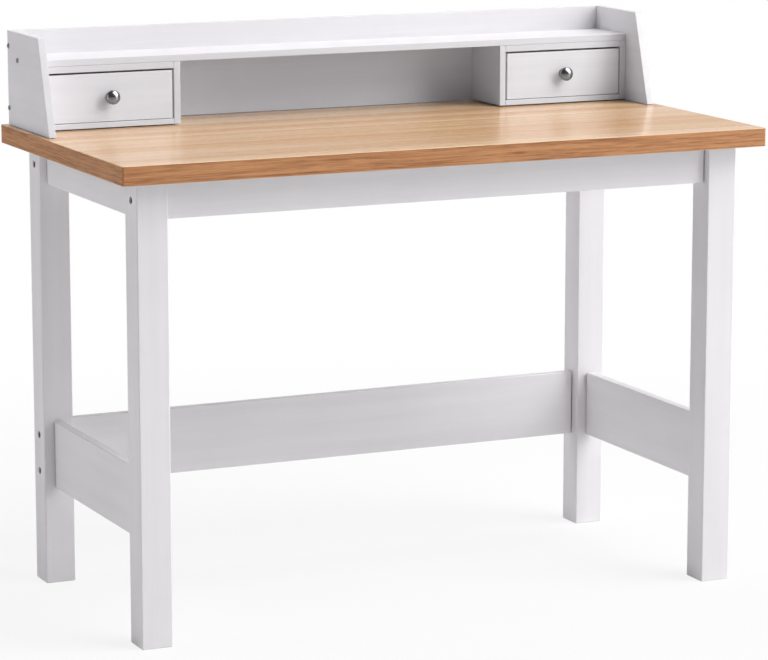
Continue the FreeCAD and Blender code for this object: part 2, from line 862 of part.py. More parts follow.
def build_frame():
    """The worktop, legs and rails with their fasteners."""
    save("worktop", worktop())
    for name, side in SIDES.items():
        save(f"leg_front_{name}", leg(side, leg_front_y))
        save(f"leg_rear_{name}", leg(side, leg_rear_y - leg_side))
        save(f"apron_{name}", side_rail(side, apron_thick, apron_bottom, leg_top))
        stretcher_top = stretcher_lift + stretcher_height
        low_rail = side_rail(side, stretcher_thick, stretcher_lift, stretcher_top)
        save(f"stretcher_{name}", low_rail)
    apron_levels = (apron_middle,)
    for name, row in (("front", front_row_y), ("rear", rear_row_y)):
        rail = long_rail(row, apron_thick, apron_bottom, leg_top, apron_levels)
        save(f"apron_{name}", rail)
    stretcher = long_rail(
        rear_row_y, stretcher_thick, stretcher_lift, stretcher_lift + stretcher_height,
        stretcher_bolt_levels,
    )
    save("stretcher_rear", stretcher)
    sites = bolt_sites(-1) + bolt_sites(1)
    save("frame_bolts", *[frame_bolt(*site) for site in sites])
    save("frame_barrel_nuts", *[barrel_nut(*site) for site in sites])
    save("frame_dowels", *[rail_dowel(*site) for site in rail_dowel_sites()])
    save("worktop_brackets", *[angle_bracket(*site) for site in bracket_sites()])
    save("bracket_screws", *bracket_screws())


def build_hutch():
    """The hutch's panels, shelf and carcasses with their fasteners."""
    for name, side in SIDES.items():
        save(f"hutch_side_{name}", hutch_side(side))
        build_carcass(name, side)
    width = (-side_inner_x, side_inner_x)
    back = hutch_board(*width, back_front_y, hutch_rear_y, worktop_height, hutch_top)
    save("hutch_back_panel", back)
    shelf = hutch_board(*width, shelf_front_y, back_front_y, shelf_underside, shelf_top)
    save("hutch_shelf", shelf)
    domes = [
        dome_screw(seat, "x", -side * dome_screw_length())
        for side in SIDES.values()
        for seat in dome_screw_sites(side)
    ]
    save("hutch_side_screws", *domes)
    panel_screws = [
        sunk_screw(point, "y", -panel_screw_length(), screw_diameter, screw_head_diameter)
        for point in panel_screw_sites()
    ]
    save("hutch_back_screws", *panel_screws)
    base_length = worktop_thick + base_screw_grip
    base_screws = [
        sunk_screw(point, "z", base_length, base_screw_diameter, base_screw_head_diameter)
        for point in base_screw_sites()
    ]
    save("hutch_base_screws", *base_screws)
    carcass_screws = [
        sunk_screw(point, axis, way * carcass_screw_length(), screw_diameter,
                   screw_head_diameter)
        for side in SIDES.values()
        for point, axis, way in carcass_screw_sites(side)
    ]
    save("carcass_screws", *carcass_screws)
    save("hutch_dowels", *[hutch_dowel(*site) for site in hutch_dowel_sites()])


os.makedirs("parts", exist_ok=True)
build_frame()
build_hutch()
for drawer_name, drawer_hand in SIDES.items():
    build_drawer(drawer_name, drawer_hand)
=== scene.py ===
"""A student desk with a hutch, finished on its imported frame.

The desk stands on the floor at the origin with its front towards -Y. Lengths are metres. Boards,
knobs and fixings are modelled anew in the places that the frame gives, and each stands for its
node there.
"""

import sys

import json
import logging
import math
from collections.abc import Callable, Iterable, Sequence
from dataclasses import dataclass, field
from enum import Enum
from typing import Any, NamedTuple

import bmesh
import bpy
from mathutils import Matrix, Vector


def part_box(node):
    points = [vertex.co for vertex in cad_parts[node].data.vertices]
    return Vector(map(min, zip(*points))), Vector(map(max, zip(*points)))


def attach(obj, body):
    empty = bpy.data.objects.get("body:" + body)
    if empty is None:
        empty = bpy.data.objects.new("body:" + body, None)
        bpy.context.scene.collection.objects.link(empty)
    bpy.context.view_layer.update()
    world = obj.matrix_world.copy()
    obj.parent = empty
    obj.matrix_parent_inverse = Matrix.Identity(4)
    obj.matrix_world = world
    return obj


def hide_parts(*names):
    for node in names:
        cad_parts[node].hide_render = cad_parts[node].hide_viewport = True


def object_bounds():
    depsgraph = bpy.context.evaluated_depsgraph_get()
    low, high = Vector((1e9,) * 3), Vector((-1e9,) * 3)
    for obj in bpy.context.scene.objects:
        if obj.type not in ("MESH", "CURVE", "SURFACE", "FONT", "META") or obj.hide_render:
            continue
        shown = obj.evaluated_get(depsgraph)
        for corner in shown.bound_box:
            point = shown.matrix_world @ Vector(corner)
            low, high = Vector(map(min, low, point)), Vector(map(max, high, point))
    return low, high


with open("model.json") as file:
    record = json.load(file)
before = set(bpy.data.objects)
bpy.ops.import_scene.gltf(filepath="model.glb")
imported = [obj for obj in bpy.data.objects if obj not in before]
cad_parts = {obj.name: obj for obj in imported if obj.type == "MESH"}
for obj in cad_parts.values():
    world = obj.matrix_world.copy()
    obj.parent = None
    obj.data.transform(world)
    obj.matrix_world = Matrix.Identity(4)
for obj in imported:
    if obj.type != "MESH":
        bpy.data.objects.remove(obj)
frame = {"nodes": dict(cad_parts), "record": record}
CAD_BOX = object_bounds()
log = logging.getLogger("desk")

Colour = tuple[float, float, float, float]
Span = tuple[float, float]
Socket = bpy.types.NodeSocket
Piece = bpy.types.Object
Shape = bmesh.types.BMesh

ORIGIN = (0.0, 0.0, 0.0)
UNIT = Vector((1.0, 1.0, 1.0))
WHITE: Colour = (1.0, 1.0, 1.0, 1.0)

# How close two points count as one, in a node or a tree and in a finished mesh.
SAME_PLACE = 1e-6
SAME_CORNER = 1e-7


class Axis(Enum):
    """The directions of the desk's frame: along its length, to its rear, and up."""

    X = 0
    Y = 1
    Z = 2


class Hand(Enum):
    """The two ends of the desk, by the sign of X there."""

    LEFT = -1
    RIGHT = 1

    @property
    def word(self) -> str:
        """The end's name as the nodes spell it."""
        return self.name.lower()


class Slot(Enum):
    """The record's material slots."""

    LACQUER = "white_lacquered_board"
    OAK = "oak_effect_board"
    HARDBOARD = "white_hardboard"
    KNOB = "polished_knob"
    ZINC = "zinc_hardware"
    BLACK = "black_bolt"
    BEECH = "beech_dowel"


class CutForm(Enum):
    """The shape of a cut, as an index among the drill's cutters."""

    ROUND = 0
    SQUARE = 1


class Style(Enum):
    """How a fixing is made."""

    SOCKET_BOLT = "socket bolt"
    DOME_SCREW = "dome screw"
    PAN_SCREW = "pan screw"
    SUNK_SCREW = "sunk screw"
    DOWEL = "dowel"
    BARREL_NUT = "barrel nut"


# A screen's tone curve: a straight foot, and a power above it.
SCREEN_TOP = 255
FOOT_END = 0.04045
FOOT_SLOPE = 12.92
CURVE_LIFT = 0.055
CURVE_POWER = 2.4


def tone(red: int, green: int, blue: int) -> Colour:
    """A colour as a screen shows it, in the renderer's linear numbers.

    Args:
        red: its red, from 0 to 255.
        green: its green.
        blue: its blue.

    Returns:
        The linear colour.
    """
    shares = [channel / SCREEN_TOP for channel in (red, green, blue)]
    linear = [
        share / FOOT_SLOPE if share <= FOOT_END
        else ((share + CURVE_LIFT) / (1 + CURVE_LIFT)) ** CURVE_POWER
        for share in shares
    ]
    return (*linear, 1.0)


# Node trees


def cleared(owner: Any) -> bpy.types.NodeTree:
    """Switches a node tree on and empties it.

    Args:
        owner: the material or the world that holds the tree.

    Returns:
        The tree.
    """
    owner.use_nodes = True
    owner.node_tree.nodes.clear()
    return owner.node_tree


def find_socket(sockets: Any, key: int | str) -> Socket:
    """Finds a socket.

    Args:
        sockets: a node's inputs or outputs.
        key: the socket's index, identifier or name.

    Returns:
        The socket with this index, or the one in use with this identifier or name.
    """
    if isinstance(key, int):
        return sockets[key]
    return next(s for s in sockets if s.enabled and key in (s.identifier, s.name))


def value_operator(operation: str, swapped: bool = False) -> "Callable[[Value, Amount], Value]":
    """Makes an operator of Value that adds one Math node.

    Args:
        operation: the Math node's operation.
        swapped: whether the other value comes first, as in the reflected form.

    Returns:
        The operator.
    """

    def apply(this: "Value", other: "Amount") -> "Value":
        """The operation's result."""
        values = (other, this) if swapped else (this, other)
        return this.graph.maths(operation, *values)

    return apply


class Value:
    """A socket that carries a number, so that node maths reads as Python."""

    def __init__(self, graph: "Graph", socket: Socket) -> None:
        """Keeps the socket, and the graph that its maths goes into."""
        self.graph = graph
        self.socket = socket

    __add__ = __radd__ = value_operator("ADD")
    __mul__ = __rmul__ = value_operator("MULTIPLY")
    __sub__, __rsub__ = value_operator("SUBTRACT"), value_operator("SUBTRACT", True)
    __truediv__, __rtruediv__ = value_operator("DIVIDE"), value_operator("DIVIDE", True)
    __mod__, __rmod__ = value_operator("FLOORED_MODULO"), value_operator("FLOORED_MODULO", True)
    __pow__, __rpow__ = value_operator("POWER"), value_operator("POWER", True)

    def floor(self) -> "Value":
        """The whole number at or below this value."""
        return self.graph.maths("FLOOR", self)

    def cos(self) -> "Value":
        """The cosine of this value in radians."""
        return self.graph.maths("COSINE", self)

    def sin(self) -> "Value":
        """The sine of this value in radians."""
        return self.graph.maths("SINE", self)

    def ease(self, low: float, high: float) -> "Value":
        """0 below the low end, 1 above the high end, and smooth between.

        Args:
            low: the value that gives 0.
            high: the value that gives 1.

        Returns:
            The eased value.
        """
        node = self.graph.node(
            "ShaderNodeMapRange",
            {"interpolation_type": "SMOOTHSTEP"},
            {"Value": self, "From Min": low, "From Max": high},
        )
        return Value(self.graph, find_socket(node.outputs, "Result"))


Amount = Value | float
Outline = list[tuple[Amount, Amount]]


class Graph:
    """A node tree whose nodes all come from one method."""

    def __init__(self, tree: bpy.types.NodeTree) -> None:
        """Starts on a tree."""
        self.tree = tree

    def node(
        self,
        kind: str,
        settings: dict[str, Any] | None = None,
        inputs: dict[int | str, Any] | None = None,
    ) -> bpy.types.Node:
        """Adds a node.

        Args:
            kind: the node's type.
            settings: the node's own settings, which are set first.
            inputs: what each input holds: a number, a value, a socket or a list of sockets.

        Returns:
            The node.
        """
        made = self.tree.nodes.new(kind)
        for name, setting in (settings or {}).items():
            setattr(made, name, setting)
        self.feed(made, inputs or {})
        return made

    def feed(self, node: bpy.types.Node, inputs: dict[int | str, Any]) -> None:
        """Sets or links a node's inputs.

        Args:
            node: the node.
            inputs: as in node().
        """
        for key, given in inputs.items():
            socket = find_socket(node.inputs, key)
            for one in given if isinstance(given, list) else [given]:
                source = one.socket if isinstance(one, Value) else one
                if isinstance(source, Socket):
                    self.tree.links.new(source, socket)
                else:
                    socket.default_value = source

    def maths(self, operation: str, *values: Amount) -> Value:
        """One Math node.

        Args:
            operation: the Math node's operation.
            values: its inputs in order.

        Returns:
            The result.
        """
        made = self.node("ShaderNodeMath", {"operation": operation}, dict(enumerate(values)))
        return Value(self, made.outputs[0])

    def vector(self, x: Amount, y: Amount, z: Amount) -> Socket:
        """A vector of three values."""
        return self.node("ShaderNodeCombineXYZ", inputs={"X": x, "Y": y, "Z": z}).outputs[0]

    def rays(self, *kinds: str) -> list[Value]:
        """For each kind of ray, 1 where the surface is seen by it."""
        path = self.node("ShaderNodeLightPath")
        return [Value(self, path.outputs[f"Is {kind} Ray"]) for kind in kinds]


@dataclass(frozen=True)
class Pattern:
    """Noise that is drawn out along the grain.

    Its streaks run about a length and lie about a width apart. Detail adds finer layers, and
    the seed moves it, so that two layers differ. Where it has ends, it eases from 0 to 1
    between them.
    """

    length: float
    width: float
    detail: float = 2.0
    seed: float = 0.0
    ends: Span | None = None

    @classmethod
    def even(
        cls, size: float, detail: float = 2.0, seed: float = 0.0, ends: Span | None = None
    ) -> "Pattern":
        """Noise of one size every way."""
        return cls(size, size, detail, seed, ends)


NOISE_MIDDLE = 0.5
SPILL_CUT = 0.9


class SurfaceGraph(Graph):
    """The nodes of one finish, whose patterns run along the grain of the board."""

    def __init__(self, tree: bpy.types.NodeTree, grain: Axis) -> None:
        """Starts with the piece's own coordinates.

        Args:
            tree: the material's nodes.
            grain: the way that the patterns run.
        """
        super().__init__(tree)
        self.grain = grain
        self.place = self.node("ShaderNodeTexCoord").outputs["Object"]

    def noise(self, pattern: Pattern, place: Socket | None = None) -> Value:
        """A pattern's noise.

        Args:
            pattern: the pattern.
            place: other coordinates than the piece's own.

        Returns:
            The noise, about its middle on the whole, or eased where the pattern has ends.
        """
        scale = [1 / pattern.width] * len(Axis)
        scale[self.grain.value] = 1 / pattern.length
        mapped = self.node(
            "ShaderNodeMapping",
            inputs={
                "Vector": place or self.place,
                "Location": (pattern.seed,) * len(Axis),
                "Scale": tuple(scale),
            },
        )
        made = self.node(
            "ShaderNodeTexNoise",
            inputs={"Vector": mapped.outputs[0], "Scale": 1.0, "Detail": pattern.detail},
        )
        noise = Value(self, made.outputs[0])
        return noise.ease(*pattern.ends) if pattern.ends else noise

    def drifted(self, sway: Pattern, reach: float) -> Socket:
        """The piece's coordinates, swayed across the grain.

        Args:
            sway: the noise that they follow.
            reach: how far apart the ends of the sway lie.

        Returns:
            The coordinates.
        """
        amount = (self.noise(sway) - NOISE_MIDDLE) * reach
        across = [0.0 if axis is self.grain else amount for axis in Axis]
        moved = self.node(
            "ShaderNodeVectorMath", {"operation": "ADD"}, {0: self.place, 1: self.vector(*across)}
        )
        return moved.outputs[0]

    def blend(self, factor: Amount, first: Socket | Colour, second: Socket | Colour) -> Socket:
        """Mixes two colours.

        Args:
            factor: how much of the second.
            first: the colour at 0.
            second: the colour at 1.

        Returns:
            The mixed colour.
        """
        made = self.node(
            "ShaderNodeMix",
            {"data_type": "RGBA"},
            {"Factor_Float": factor, "A_Color": first, "B_Color": second},
        )
        return find_socket(made.outputs, "Result_Color")

    def bump(self, height: Value, depth: float) -> Socket:
        """A normal raised by a height from 0 to 1, times a depth."""
        made = self.node("ShaderNodeBump", inputs={"Distance": depth, "Height": height})
        return made.outputs[0]

    def unspilt(self, wood: Socket) -> Socket:
        """Keeps a wood's colour out of what it throws on the white boards beside it.

        Args:
            wood: the wood's colour.

        Returns:
            The colour, and its grey for light that another surface takes from it.
        """
        bounced, mirrored = self.rays("Diffuse", "Glossy")
        grey = self.node("ShaderNodeRGBToBW", inputs={0: wood}).outputs[0]
        return self.blend(self.maths("MAXIMUM", bounced, mirrored) * SPILL_CUT, wood, grey)


# Finishes


@dataclass(frozen=True)
class Finish:
    """A surface finish that makes one material for each direction of grain."""

    name: str
    slot: Slot

    def material(self, grain: Axis = Axis.X) -> bpy.types.Material:
        """The finish's material for a grain, made once.

        Args:
            grain: the way the pattern runs.

        Returns:
            The material.
        """
        full_name = f"{self.name}_{grain.name.lower()}"
        found = bpy.data.materials.get(full_name)
        if found is not None:
            return found
        made = bpy.data.materials.new(full_name)
        graph = SurfaceGraph(cleared(made), grain)
        shader = graph.node("ShaderNodeBsdfPrincipled")
        graph.feed(shader, self.surface(graph))
        graph.node("ShaderNodeOutputMaterial", inputs={"Surface": shader.outputs[0]})
        return made

    def surface(self, graph: SurfaceGraph) -> dict[str, Any]:
        """The shader's inputs, which each finish gives."""
        raise NotImplementedError


@dataclass(frozen=True)
class WhiteLacquer(Finish):
    """Satin white lacquer: faint drawn lines along the board and a fine orange peel."""

    name: str = "white_lacquer"
    slot: Slot = Slot.LACQUER
    light: Colour = tone(240, 238, 241)
    dull: Colour = tone(235, 233, 236)
    roughness: float = 0.36
    broad: Pattern = Pattern(0.5, 0.02, detail=3)
    lines: Pattern = Pattern(0.18, 0.0022, seed=3)
    peel: Pattern = Pattern.even(0.0018, seed=7)
    worn: Pattern = Pattern.even(0.12, detail=3, seed=11)
    shade_ends: Span = (0.36, 0.64)
    line_depth: float = 0.00003

    def surface(self, graph: SurfaceGraph) -> dict[str, Any]:
        """Soft long lines in tone, gloss and height.

        Args:
            graph: the material's nodes.

        Returns:
            The shader's inputs.
        """
        broad, lines, peel, worn = (
            graph.noise(pattern) for pattern in (self.broad, self.lines, self.peel, self.worn)
        )
        shade = (broad * 0.5 + worn * 0.3 + lines * 0.2).ease(*self.shade_ends)
        return {
            "Base Color": graph.blend(shade, self.light, self.dull),
            "Roughness": self.roughness + worn * 0.08 + lines * 0.04,
            "Normal": graph.bump(lines * 0.6 + peel * 0.4, self.line_depth),
        }


@dataclass(frozen=True)
class OakTop(Finish):
    """Straight-grained pale oak laminate, satin, with soft bands and fine pores."""

    name: str = "oak_laminate"
    slot: Slot = Slot.OAK
    cream: Colour = tone(240, 206, 163)
    tan: Colour = tone(220, 168, 114)
    blush: Colour = tone(236, 196, 164)
    line: Colour = tone(190, 134, 82)
    roughness: float = 0.2
    sway: Pattern = Pattern(0.9, 0.07, detail=1)
    sway_reach: float = 0.02
    bands: Pattern = Pattern(2.2, 0.045, 1, 2, (0.38, 0.62))
    streaks: Pattern = Pattern(1.3, 0.015, 2, 5, (0.34, 0.66))
    lines: Pattern = Pattern(0.55, 0.0026, 2, 9, (0.5, 0.7))
    pores: Pattern = Pattern(0.02, 0.0006, 1, 13, (0.6, 0.7))
    warmth: Pattern = Pattern(0.5, 0.12, 1, 17, (0.42, 0.6))
    pore_depth: float = 0.00005

    def surface(self, graph: SurfaceGraph) -> dict[str, Any]:
        """Bands, streaks, lines and pores, each finer than the one before.

        Args:
            graph: the material's nodes.

        Returns:
            The shader's inputs.
        """
        place = graph.drifted(self.sway, self.sway_reach)
        bands, streaks, lines, pores = (
            graph.noise(pattern, place)
            for pattern in (self.bands, self.streaks, self.lines, self.pores)
        )
        warmth = graph.noise(self.warmth)
        wood = graph.blend(bands * 0.66 + streaks * 0.34, self.cream, self.tan)
        wood = graph.blend(warmth * (1 - bands) * 0.6, wood, self.blush)
        wood = graph.blend(lines * 0.2 + streaks * bands * 0.18, wood, self.line)
        wood = graph.blend(pores * 0.2, wood, self.line)
        return {
            "Base Color": graph.unspilt(wood),
            "Roughness": self.roughness + lines * 0.05 + pores * 0.12,
            "Normal": graph.bump(1 - pores * 0.7 - lines * 0.3, self.pore_depth),
        }


@dataclass(frozen=True)
class OakBand(Finish):
    """The deeper oak of the edge band, whose grain rises and falls along the edge."""

    name: str = "oak_band"
    slot: Slot = Slot.OAK
    light: Colour = tone(204, 147, 96)
    deep: Colour = tone(168, 108, 64)
    dark: Colour = tone(118, 68, 36)
    roughness: float = 0.45
    slope: Pattern = Pattern(0.2, 0.08, detail=1)
    slope_reach: float = 0.006
    growth: Pattern = Pattern(0.3, 0.005, 1, 3, (0.34, 0.66))
    streaks: Pattern = Pattern(0.045, 0.0014, 2, 6, (0.4, 0.66))
    pores: Pattern = Pattern(0.016, 0.0006, 1, 9, (0.58, 0.7))
    pore_depth: float = 0.00008

    def surface(self, graph: SurfaceGraph) -> dict[str, Any]:
        """Sloping growth lines, with finer streaks and pores in them.

        Args:
            graph: the material's nodes.

        Returns:
            The shader's inputs.
        """
        place = graph.drifted(self.slope, self.slope_reach)
        growth, streaks, pores = (
            graph.noise(pattern, place) for pattern in (self.growth, self.streaks, self.pores)
        )
        wood = graph.blend(growth * 0.55 + streaks * 0.45, self.light, self.deep)
        wood = graph.blend(streaks * growth * 0.4 + pores * 0.3, wood, self.dark)
        return {
            "Base Color": graph.unspilt(wood),
            "Roughness": self.roughness + streaks * 0.08,
            "Normal": graph.bump(1 - pores * 0.6 - streaks * 0.4, self.pore_depth),
        }


@dataclass(frozen=True)
class Fibreboard(Finish):
    """The brown core of a board, where a hole shows it."""

    name: str = "fibreboard_core"
    slot: Slot = Slot.LACQUER
    pale: Colour = tone(166, 134, 98)
    dark: Colour = tone(118, 90, 62)
    roughness: float = 0.85
    fibres: Pattern = Pattern.even(0.0009, detail=4)
    fibre_ends: Span = (0.3, 0.7)
    fibre_depth: float = 0.0002

    def surface(self, graph: SurfaceGraph) -> dict[str, Any]:
        """Pressed fibres, pale and dark.

        Args:
            graph: the material's nodes.

        Returns:
            The shader's inputs.
        """
        fibres = graph.noise(self.fibres)
        return {
            "Base Color": graph.blend(fibres.ease(*self.fibre_ends), self.dark, self.pale),
            "Roughness": self.roughness + fibres * 0.1,
            "Normal": graph.bump(fibres, self.fibre_depth),
        }


@dataclass(frozen=True)
class Hardboard(Finish):
    """Thin hardboard with a printed white face."""

    name: str = "white_hardboard"
    slot: Slot = Slot.HARDBOARD
    light: Colour = tone(234, 232, 229)
    dull: Colour = tone(222, 219, 215)
    roughness: float = 0.55
    press: Pattern = Pattern.even(0.0012, detail=1)
    cloud: Pattern = Pattern.even(0.05, detail=3, seed=4, ends=(0.35, 0.65))
    press_depth: float = 0.00005

    def surface(self, graph: SurfaceGraph) -> dict[str, Any]:
        """A fine pressed texture under thin paint.

        Args:
            graph: the material's nodes.

        Returns:
            The shader's inputs.
        """
        press = graph.noise(self.press)
        return {
            "Base Color": graph.blend(graph.noise(self.cloud), self.light, self.dull),
            "Roughness": self.roughness + press * 0.15,
            "Normal": graph.bump(press, self.press_depth),
        }


TURNED_MAP = "turned"


@dataclass(frozen=True)
class PolishedNickel(Finish):
    """Bright plated metal, with the faint rings of its turning."""

    name: str = "polished_nickel"
    slot: Slot = Slot.KNOB
    bright: Colour = (0.41, 0.407, 0.416, 1.0)
    smoky: Colour = (0.33, 0.328, 0.336, 1.0)
    rim_tint: Colour = (0.3, 0.3, 0.31, 1.0)
    roughness: float = 0.21
    haze: Pattern = Pattern.even(0.004, detail=3, seed=2)
    haze_ends: Span = (0.35, 0.7)
    ring_width: float = 0.00035
    ring_depth: float = 0.000004

    def surface(self, graph: SurfaceGraph) -> dict[str, Any]:
        """Rings along the turned outline, read from the piece's own map.

        Args:
            graph: the material's nodes.

        Returns:
            The shader's inputs.
        """
        uv = graph.node("ShaderNodeUVMap", {"uv_map": TURNED_MAP}).outputs[0]
        outline = Value(graph, graph.node("ShaderNodeSeparateXYZ", inputs={0: uv}).outputs["Y"])
        steps = graph.vector(0.0, outline / self.ring_width, 0.0)
        rings = graph.node("ShaderNodeTexNoise", inputs={"Vector": steps, "Scale": 1.0})
        ring = Value(graph, rings.outputs[0])
        haze = graph.noise(self.haze)
        return {
            "Base Color": graph.blend(haze.ease(*self.haze_ends), self.bright, self.smoky),
            "Metallic": 1.0,
            "Specular Tint": self.rim_tint,
            "Roughness": self.roughness + haze * 0.05 + ring * 0.03,
            "Normal": graph.bump(ring, self.ring_depth),
        }


@dataclass(frozen=True)
class CloudedSteel(Finish):
    """Plated or blackened steel: a skin of two greys that cloud over a fine grit."""

    first: Colour
    second: Colour
    metallic: float = 1.0
    roughness: float = 0.3
    cloud: Pattern = Pattern.even(0.0022, detail=3)
    cloud_ends: Span = (0.35, 0.65)
    cloud_dulls: float = 0.15
    grit: Pattern = Pattern.even(0.0022 / 6, seed=5)
    grit_dulls: float = 0.06
    grit_depth: float = 0.00002

    def surface(self, graph: SurfaceGraph) -> dict[str, Any]:
        """Clouds of two greys over a fine grit.

        Args:
            graph: the material's nodes.

        Returns:
            The shader's inputs.
        """
        cloud, grit = graph.noise(self.cloud), graph.noise(self.grit)
        return {
            "Base Color": graph.blend(cloud.ease(*self.cloud_ends), self.first, self.second),
            "Metallic": self.metallic,
            "Roughness": self.roughness + cloud * self.cloud_dulls + grit * self.grit_dulls,
            "Normal": graph.bump(grit, self.grit_depth),
        }


@dataclass(frozen=True)
class Beech(Finish):
    """Plain beech with its short flecks."""

    name: str = "beech"
    slot: Slot = Slot.BEECH
    pale: Colour = tone(222, 189, 148)
    fleck: Colour = tone(182, 138, 96)
    roughness: float = 0.6
    fibre: Pattern = Pattern(0.03, 0.0016, detail=3, ends=(0.35, 0.65))
    flecks: Pattern = Pattern(0.003, 0.0004, detail=1, seed=4, ends=(0.58, 0.68))
    fleck_depth: float = 0.00006

    def surface(self, graph: SurfaceGraph) -> dict[str, Any]:
        """Long soft grain with short dark flecks.

        Args:
            graph: the material's nodes.

        Returns:
            The shader's inputs.
        """
        flecks = graph.noise(self.flecks)
        shade = graph.noise(self.fibre) * 0.4 + flecks * 0.5
        return {
            "Base Color": graph.blend(shade, self.pale, self.fleck),
            "Roughness": self.roughness + flecks * 0.1,
            "Normal": graph.bump(1 - flecks, self.fleck_depth),
        }


LACQUER = WhiteLacquer()
# A lighter copy of the white lacquer for the drawer fronts: painted light that brightens fronts
# which the hutch's shelf and side panels shade.
PAINTED_LIGHT_FRONT_LACQUER = WhiteLacquer(
    name="front_lacquer", light=tone(248, 246, 249), dull=tone(243, 241, 244)
)
OAK_TOP = OakTop()
OAK_BAND = OakBand()
CORE = Fibreboard()
HARDBOARD = Hardboard()
NICKEL = PolishedNickel()
ZINC = CloudedSteel(
    name="zinc_plate", slot=Slot.ZINC,
    first=(0.5, 0.52, 0.55, 1.0), second=(0.58, 0.57, 0.53, 1.0),
)
SMOKED_ZINC = CloudedSteel(
    name="smoked_zinc", slot=Slot.ZINC,
    first=(0.2, 0.2, 0.21, 1.0), second=(0.3, 0.3, 0.305, 1.0), roughness=0.24,
)
BLACK = CloudedSteel(
    name="black_steel", slot=Slot.BLACK, first=tone(40, 39, 42), second=tone(68, 67, 71),
    metallic=0.6, roughness=0.38,
    cloud=Pattern.even(0.0016, detail=3), cloud_ends=(0.45, 0.75), cloud_dulls=0.12,
    grit=Pattern.even(0.0016 / 5, seed=5), grit_dulls=0.08,
)
BEECH = Beech()


# Mesh tools

SHARP_ANGLE = math.radians(32)
EASE_STEPS = 4
ROUND_PROFILE = 0.5


def new_piece(name: str, mesh: bpy.types.Mesh) -> Piece:
    """A new object at the origin, in the scene.

    Args:
        name: its name.
        mesh: its mesh.

    Returns:
        The object.
    """
    piece = bpy.data.objects.new(name, mesh)
    bpy.context.scene.collection.objects.link(piece)
    return piece


def new_mesh(name: str, shape: Shape) -> bpy.types.Mesh:
    """Turns edited geometry into a mesh and frees it.

    Args:
        name: the mesh's name.
        shape: the geometry.

    Returns:
        The mesh.
    """
    mesh = bpy.data.meshes.new(name)
    shape.to_mesh(mesh)
    shape.free()
    return mesh


def settle(piece: Piece) -> None:
    """Turns a piece's modifiers into plain mesh.

    Args:
        piece: the object, which keeps its name.
    """
    seen = bpy.context.evaluated_depsgraph_get()
    mesh = bpy.data.meshes.new_from_object(
        piece.evaluated_get(seen), preserve_all_data_layers=True, depsgraph=seen
    )
    rough = piece.data
    piece.modifiers.clear()
    piece.data = mesh
    bpy.data.meshes.remove(rough)


def smooth(piece: Piece) -> None:
    """Smooths a piece's curves and keeps its flats flat.

    Args:
        piece: an object with no modifiers.
    """
    piece.data.shade_smooth()
    piece.data.set_sharp_from_angle(angle=SHARP_ANGLE)
    weighted = piece.modifiers.new("flats", "WEIGHTED_NORMAL")
    weighted.keep_sharp = True
    settle(piece)


def face_outwards(shape: Shape) -> None:
    """Closes a solid's seams and poles, and points its faces outwards."""
    bmesh.ops.remove_doubles(shape, verts=shape.verts, dist=SAME_CORNER)
    bmesh.ops.recalc_face_normals(shape, faces=shape.faces)


def is_level(edge: bmesh.types.BMEdge) -> bool:
    """Whether an edge lies level."""
    return math.isclose(*(vert.co.z for vert in edge.verts), abs_tol=SAME_PLACE)


def round_edges(
    shape: Shape, ease: float, edges: list[bmesh.types.BMEdge] | None = None
) -> None:
    """Rounds the edges of a shape.

    Args:
        shape: the geometry.
        ease: the edges' radius.
        edges: the edges to round, or None for all of them.
    """
    bmesh.ops.bevel(
        shape, geom=shape.edges[:] if edges is None else edges, offset=ease,
        segments=EASE_STEPS, profile=ROUND_PROFILE, affect="EDGES", clamp_overlap=True,
    )


def eased_box(
    low: Vector, high: Vector, ease: float, corner_ease: float | None = None
) -> Shape:
    """A box with rounded edges.

    Args:
        low: its lowest corner.
        high: its highest corner.
        ease: the edges' radius.
        corner_ease: the upright edges' radius, where they have one of their own.

    Returns:
        The geometry.
    """
    shape = bmesh.new()
    place = Matrix.LocRotScale((low + high) / 2, None, high - low)
    bmesh.ops.create_cube(shape, size=1.0, matrix=place)
    if corner_ease is None:
        round_edges(shape, ease)
        return shape
    round_edges(shape, corner_ease, [edge for edge in shape.edges if not is_level(edge)])
    round_edges(shape, ease, [edge for edge in shape.edges if is_level(edge)])
    return shape


def solids_of(node: str) -> list[list[Vector]]:
    """The points of each separate solid in a node.

    Args:
        node: the node's name.

    Returns:
        A list of points for each solid, always in the order of the node's mesh.
    """
    shape = bmesh.new()
    shape.from_mesh(frame["nodes"][node].data)
    bmesh.ops.remove_doubles(shape, verts=shape.verts, dist=SAME_PLACE)
    met, found = set(), []
    for start in shape.verts:
        if start in met:
            continue
        met.add(start)
        todo, solid = [start], []
        while todo:
            point = todo.pop()
            solid.append(point.co.copy())
            for edge in point.link_edges:
                other = edge.other_vert(point)
                if other not in met:
                    met.add(other)
                    todo.append(other)
        found.append(solid)
    shape.free()
    return found


def span_of(points: Iterable[Vector]) -> tuple[Vector, Vector]:
    """The lowest and highest corner of some points."""
    columns = list(zip(*points))
    return Vector(map(min, columns)), Vector(map(max, columns))


AXIS_MARK = "axis"
SIZE_MARK = "size"
FORM_MARK = "form"


class Mark(NamedTuple):
    """A point with its axis, its size and the index of what is set there."""

    place: Vector
    axis: Vector
    size: Vector = UNIT
    form: int = 0


def marked_points(name: str, marks: Sequence[Mark]) -> Piece:
    """Loose points that carry their marks for a geometry tree.

    Args:
        name: the object's name.
        marks: the points.

    Returns:
        The object, in the scene.
    """
    mesh = bpy.data.meshes.new(name)
    mesh.from_pydata([tuple(mark.place) for mark in marks], [], [])
    columns = {AXIS_MARK: [mark.axis for mark in marks], SIZE_MARK: [mark.size for mark in marks]}
    for label, column in columns.items():
        written = mesh.attributes.new(label, "FLOAT_VECTOR", "POINT")
        written.data.foreach_set("vector", [part for vector in column for part in vector])
    forms = mesh.attributes.new(FORM_MARK, "INT", "POINT")
    forms.data.foreach_set("value", [mark.form for mark in marks])
    return new_piece(name, mesh)


# Fixings and the cuts they need


